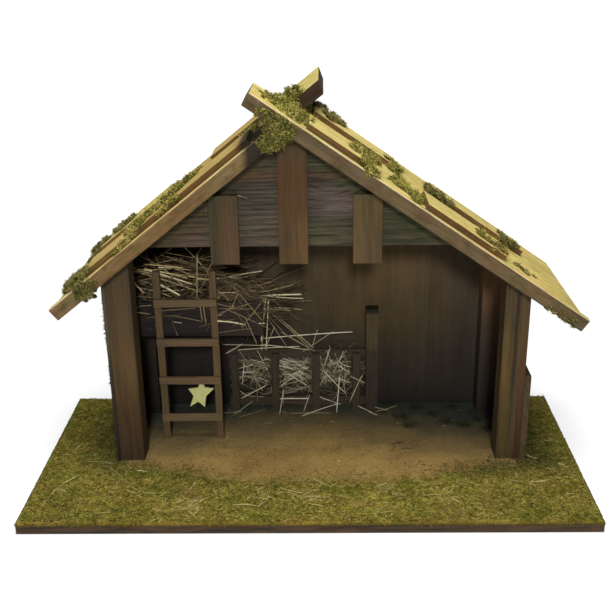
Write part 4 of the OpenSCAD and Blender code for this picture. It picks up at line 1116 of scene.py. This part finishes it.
def make_wood():
    seed = 100

    def board(name, turn, colours, edge=0.6, **looks):
        nonlocal seed
        seed += 1
        dress(name, wood(name, turn, colours, seed, **looks), edge)

    # Every entry of dirt and painted light is a list of soft spans, and the tint where they all
    # hold; some tints are dirt and stain, others are painted shade and painted light
    board("base_board", ALONG_X, ((0.078, 0.046, 0.020), (0.014, 0.011, 0.009)), edge=0.5,
          ring=3.0, pith=(0, -40), blotch=0.9, mottle=1.0, band=0.3)
    post = dict(ring=7.0, darker_low=(15, 110, 0.66), line=0.35, fibre=0.4, band=0.7)
    # The left post is darker near its top: painted shade under the roof
    board("front_left_post", ALONG_Z, POST, pith=(-8, -250), tilt=(0.01, 0.01), dirt=[
        ([(2, 0, 70, 50)], (0.82, 0.68, 0.62)), ([(2, 70, 150, 40)], (1.0, 0.90, 0.72)),
        ([(2, 170, 260, 30)], (0.84, 0.84, 0.86))], **post)
    board("front_right_post", ALONG_Z, POST, pith=(-12, 222), tilt=(0.012, 0.0), dirt=[
        ([(0, 222.5, 225, 1.5), (2, 110, 205, 20)], 0.6),
        ([(0, 212, 221, 3), (2, 30, 150, 40)], (1.35, 1.3, 0.85)),
        ([(0, 231, 240, 3), (2, 0, 130, 30)], (0.9, 0.62, 0.5))], **post)

    wall = dict(darker_low=(10, 190, 0.22), line=0.16, fibre=0.24, blotch=0.4, band=0.4)
    # Painted shade under the loft, in the back left corner
    under_loft_shade = ([(0, -240, -46, 30), (2, 0, 128, 24)], (0.50, 0.50, 0.62))
    cold = ([(2, 0, 70, 60)], (0.82, 0.88, 1.1))
    inner = (0, 180, HOUSE_R - WALL_T / 2, 1)
    board("back_left_post", ALONG_Z, WALL, ring=5.0, dirt=[under_loft_shade], **wall)
    # Painted light makes the back right post brighter near its top
    board("back_right_post", ALONG_Z, ((0.092, 0.060, 0.034), (0.036, 0.023, 0.0135)), ring=5.0,
          dirt=[([(2, 170, 260, 50)], (1.5, 1.3, 1.1)), cold], **wall)
    # The back wall is darker towards the right corner: painted shade
    board("back_wall", ALONG_Z, WALL, ring=9.0, pith=(200, 60), tilt=(0.02, 0.05), dirt=[
        under_loft_shade, cold, ([(0, 170, 240, 60), (2, 60, 300, 40)], (0.88, 0.86, 0.92)),
        ([(0, 60, 150, 40), (2, 70, 200, 50)], (1.15, 1.12, 0.95)),
        ([(0, 20, 110, 50), (2, 120, 300, 50)], (1.04, 1.0, 0.82))], **wall)
    board("left_wall", ALONG_Z, WALL, ring=7.0, pith=(20, 260), green=0.4, dirt=[under_loft_shade], **wall)
    # Painted light on the inner face of the right wall, which lies in shade: brighter all over,
    # more near the top, and most beside the front post, where the post's shadow falls
    board("right_wall", ALONG_Z, WALL, ring=7.0, pith=(60, -260), dirt=[
        ([(2, 150, 260, 60), inner], (2.0, 1.7, 1.4)),
        ([(2, 0, 260, 20), inner], (1.45, 1.35, 1.25)),
        ([(1, -20, 40, 30), inner], (3.0, 2.7, 2.3))], **wall)
    board("right_plinth_board", ALONG_Y, POST, ring=6.0)

    board("gable_board", ALONG_X, GABLE, ring=3.0, pith=(60, 250), tilt=(0.02, 0.008),
          knot=((24.0, -6.0, 320.0), 8.0, 9.0), line=0.75, fibre=1.0, wave=(0.004, 1.7),
          grit=0.40, blotch=0.5, dirt=[
              ([(UP_RIGHT, RIGHT_OUT - 16, RIGHT_OUT + 5, 8), (0, -18, 240, 2)],
               (0.72, 0.86, 0.58)),
              ([(UP_LEFT, LEFT_OUT - 16, LEFT_OUT + 5, 8), (0, -240, -18, 2)],
               (0.72, 0.78, 0.56)),
              ([(0, -64, 0, 10)], (0.92, 0.95, 0.9)),
              ([(0, 66, 300, 24)], 0.88),
              ([(0, 2, 46, 10), (2, 306, 328, 8)], (1.05, 0.95, 1.08)),
              ([(0, 0, 48, 8), (2, 290, 300, 5)], 0.72),
              ([(0, -70, 70, 10), (2, 329, 333, 3)], 0.7),
              ([(0, -64, -20, 10), (2, 270, 296, 8)], (1.15, 1.04, 1.06)),
              ([(0, 24, 58, 8), (2, 300, 318, 6)], (1.28, 1.24, 1.34)),
              ([(0, 2, 120, 10), (2, 268, 290, 8)], (0.8, 0.88, 0.66)),
              ([(2, 336, 344, 4), (0, -70, 70, 10)], (1.15, 0.85, 0.72)),
              ([(0, -240, -110, 10), (2, 262, 300, 8)], (1.1, 0.88, 0.78))])
    strip = dict(band=0.5, grit=0.4)
    board("gable_strip_left", ALONG_Z, ((0.082, 0.054, 0.024), (0.023, 0.0155, 0.0085)),
          ring=4.0, pith=(-20, 95), fibre=0.45, line=0.3, stain=(308, 340), dirt=[
              # Painted shade: the left edge of the left strip is darker and greener
              ([(0, -120, -90, 6)], (0.70, 0.84, 0.76)),
              ([(0, -88, -60, 6)], (1.0, 0.86, 0.86))], **strip)
    board("gable_strip_centre", ALONG_Z, ((0.095, 0.053, 0.0168), (0.030, 0.0165, 0.007)),
          ring=4.0, pith=(-30, 15), fibre=0.4, line=0.25, stain=(346, 392),
          dirt=[([(2, 310, 400, 30)], (0.84, 0.74, 0.8))], **strip)
    board("gable_strip_right", ALONG_Z, ((0.106, 0.069, 0.0255), (0.036, 0.0235, 0.0105)),
          ring=4.5, pith=(-25, -60), fibre=0.4, line=0.3, stain=(306, 340), **strip)

    # The bare strip in front of a front slat is darkened with painted shade, and near the ridge the
    # left slope gets a painted shadow under the right front board
    pale, dim, shaded_strip_y = (1.05, 1.03, 0.98), (0.78, 0.70, 0.66), (1, -35, -31, 1.5)
    dirt = {
        "roof_board_right_front": [
            ([(0, -12, 68, 5), shaded_strip_y], 0.5), ([(0, 116, 194, 5), shaded_strip_y], 0.5),
            ([(0, 262, 330, 12)], (0.86, 0.9, 0.82)), ([(0, 190, 262, 20)], pale)],
        "roof_board_right_back": [([(0, 190, 262, 20)], pale)],
        "roof_board_left_front": [
            ([(0, -222, -52, 5), shaded_strip_y], 0.5), ([(0, -210, -110, 40)], (0.88, 0.80, 0.66)),
            # Painted shadow where the right front board crosses over the ridge
            ([(0, -56, -20, 8)], 0.10)],
        "roof_board_left_back": [([(0, -70, -30, 8)], 0.4), ([(0, -270, -60, 20)], dim)],
        "roof_slat_left_front": [
            ([(0, -150, -40, 40)], dim), ([(0, -230, -170, 30)], (0.90, 0.80, 0.80)),
            # Painted shadow where the right front board crosses over the ridge
            ([(0, -62, -20, 7)], 0.16)],
        "roof_slat_left_back_upper": [([(0, -150, -20, 20)], dim)],
    }
    # Sides of the roof boards and slats: colours and tint
    sides = {
        "roof_board_right_front": (FACE, (0.67, 0.69, 0.76)),
        "roof_board_right_back": (SIDE, (0.67, 0.69, 0.76)),
        "roof_board_left_front": (FACE, (1.0, 1.0, 1.0)),
        "roof_board_left_back": (SIDE, (0.32, 0.32, 0.32)),
    }
    slats = sorted(name for name in NODES if name.startswith("roof_slat"))
    for name in [*sides, *slats]:
        turn, up = (DOWN_RIGHT, UP_RIGHT) if "_right_" in name else (DOWN_LEFT, UP_LEFT)
        if name in sides:
            looks = dict(edge=1.1, pith=(-20, 330), tilt=(0.015, 0.02), grit=0.4, mottle=1.3,
                         band=0.3, worn_edge_and_highlight=name.endswith("front"))
            colours = tinted(*sides[name])
        else:
            looks = dict(edge=0.7, ring=4.0, pith=(10, 330), mottle=1.0)
            colours = tinted(SIDE, (1.2, 1.08, 0.8) if "_right_" in name else (1.4, 1.35, 0.85))
        board(name, turn, colours, face=up, fibre=0.5, line=0.5, dirt=dirt.get(name, ()), **looks)

    board("loft_floor", ALONG_X, ((0.05, 0.035, 0.02), (0.018, 0.012, 0.008)))
    # The loft's front board is darker towards the left wall: painted shade
    board("loft_front_board", ALONG_X, ((0.027, 0.018, 0.0115), (0.008, 0.0056, 0.0042)),
          ring=6.0, pith=(60, 170), dirt=[([(0, -240, -130, 30)], (0.55, 0.62, 0.8))])
    board("loft_back_cleat", ALONG_X, WALL, dirt=[under_loft_shade])
    board("loft_side_cleat", ALONG_Y, WALL, dirt=[under_loft_shade])
    for name in ("ladder_rail_left", "ladder_rail_right"):
        board(name, ALONG_Z, RAIL, edge=0.5, ring=3.0, pith=(36, 120))
    for k in range(1, 5):
        board(f"ladder_rung_{k}", ALONG_X, RUNG, edge=0.5, ring=3.0, pith=(30, 100 + 7 * k))
    for name in ("rack_top_rail", "rack_bottom_rail"):
        board(name, ALONG_X, RACK, edge=0.5, ring=3.5)
    for k in range(1, 5):
        board(f"rack_slat_{k}", ALONG_Z, RACK, edge=0.5, ring=3.0, pith=(100, 10 * k))
    board("rack_post", ALONG_Z, RACK, ring=4.0, pith=(100, -70), line=0.4, band=0.5, dirt=[
        ([(2, 146.5, 160, 2)], 0.25), ([(2, 100, 146, 6)], (1.35, 1.25, 0.85)),
        ([(2, 0, 92, 12)], 0.72)])
    dress("star", star_material("star_paint"), 0.3)


# ---------------------------------------------------------------- stage
def make_stage():
    mesh = bpy.data.meshes.new("floor")
    r = 5.0
    mesh.from_pydata([(-r, -r, 0), (r, -r, 0), (r, r, 0), (-r, r, 0)], [], [(0, 1, 2, 3)])
    floor = add_object("floor", mesh)
    floor.location.z = -0.0004
    s = Shade("floor")
    # White where the camera, gloss or glass sees it, away from the object
    rays = s.add("LightPath", out=None)
    seen = s.math("MAXIMUM", rays["Is Camera Ray"], s.math(
        "MAXIMUM", rays["Is Glossy Ray"], rays["Is Transmission Ray"]))
    away = s.vector("LENGTH", s.coords())
    glow = s.times(seen, s.span(away, 0.45, 1.3, 0.42, 1.0, smooth=True))
    mesh.materials.append(s.surface("Material", s.add("AddShader", {
        0: s.add("BsdfDiffuse", {"Color": (0.62, 0.62, 0.62)}),
        1: s.add("Emission", {"Color": (1, 1, 1), "Strength": glow})})))

    bpy.context.scene.world = bpy.data.worlds.new("studio")
    s = Shade(bpy.context.scene.world)
    rays = s.add("LightPath", out=None)
    seen = s.math("MAXIMUM", rays["Is Camera Ray"], rays["Is Transmission Ray"])
    s.surface("World", s.add("Background", {
        "Color": (1, 1, 1), "Strength": s.span(seen, 0.0, 1.0, 0.10, 1.0)}))


def make_lights():
    for name, place, target, size, watts in (
        ("key_front", (0.06, -2.40, 1.34), (0.0, 0.0, 0.22), 0.28, 40.0),
        ("top_soft", (0.05, -0.25, 1.75), (0.0, 0.02, 0.1), 0.9, 30.0),
        ("fill_left", (-1.45, -1.10, 0.42), (0.1, 0.0, 0.12), 0.7, 3.0),
    ):
        light = bpy.data.lights.new(name, "AREA")
        light.shape, light.size, light.energy = "SQUARE", size, watts
        obj = add_object(name, light)
        obj.location = place
        aim = Vector(target) - Vector(place)
        obj.rotation_euler = aim.to_track_quat("-Z", "Y").to_euler()


def make_camera():
    """The camera that was fitted to the base board's corners."""
    yaw, pitch, roll = (math.radians(v) for v in (-1.048, 21.596, -0.827))
    ahead = Vector((math.sin(yaw) * math.cos(pitch), math.cos(yaw) * math.cos(pitch),
                    -math.sin(pitch)))
    right = Vector((math.cos(yaw), -math.sin(yaw), 0))
    up = right.cross(ahead)
    across = math.cos(roll) * right + math.sin(roll) * up
    upward = -math.sin(roll) * right + math.cos(roll) * up
    data = bpy.data.cameras.new("camera")
    data.sensor_width, data.sensor_fit, data.lens = 36.0, "HORIZONTAL", 54.576
    data.clip_start, data.clip_end = 0.01, 50.0
    obj = add_object("camera", data)
    turn = Matrix((across, upward, -ahead)).transposed()
    obj.matrix_world = Matrix.Translation((0.01739, -0.94068, 0.56409)) @ turn.to_4x4()
    bpy.context.scene.camera = obj


make_camera()
make_wood()
make_ground()
make_grass()
make_grains()
make_straw()
make_moss()
make_stage()
make_lights()
bpy.context.scene.view_settings.view_transform = "Standard"

bpy.context.view_layer.update()
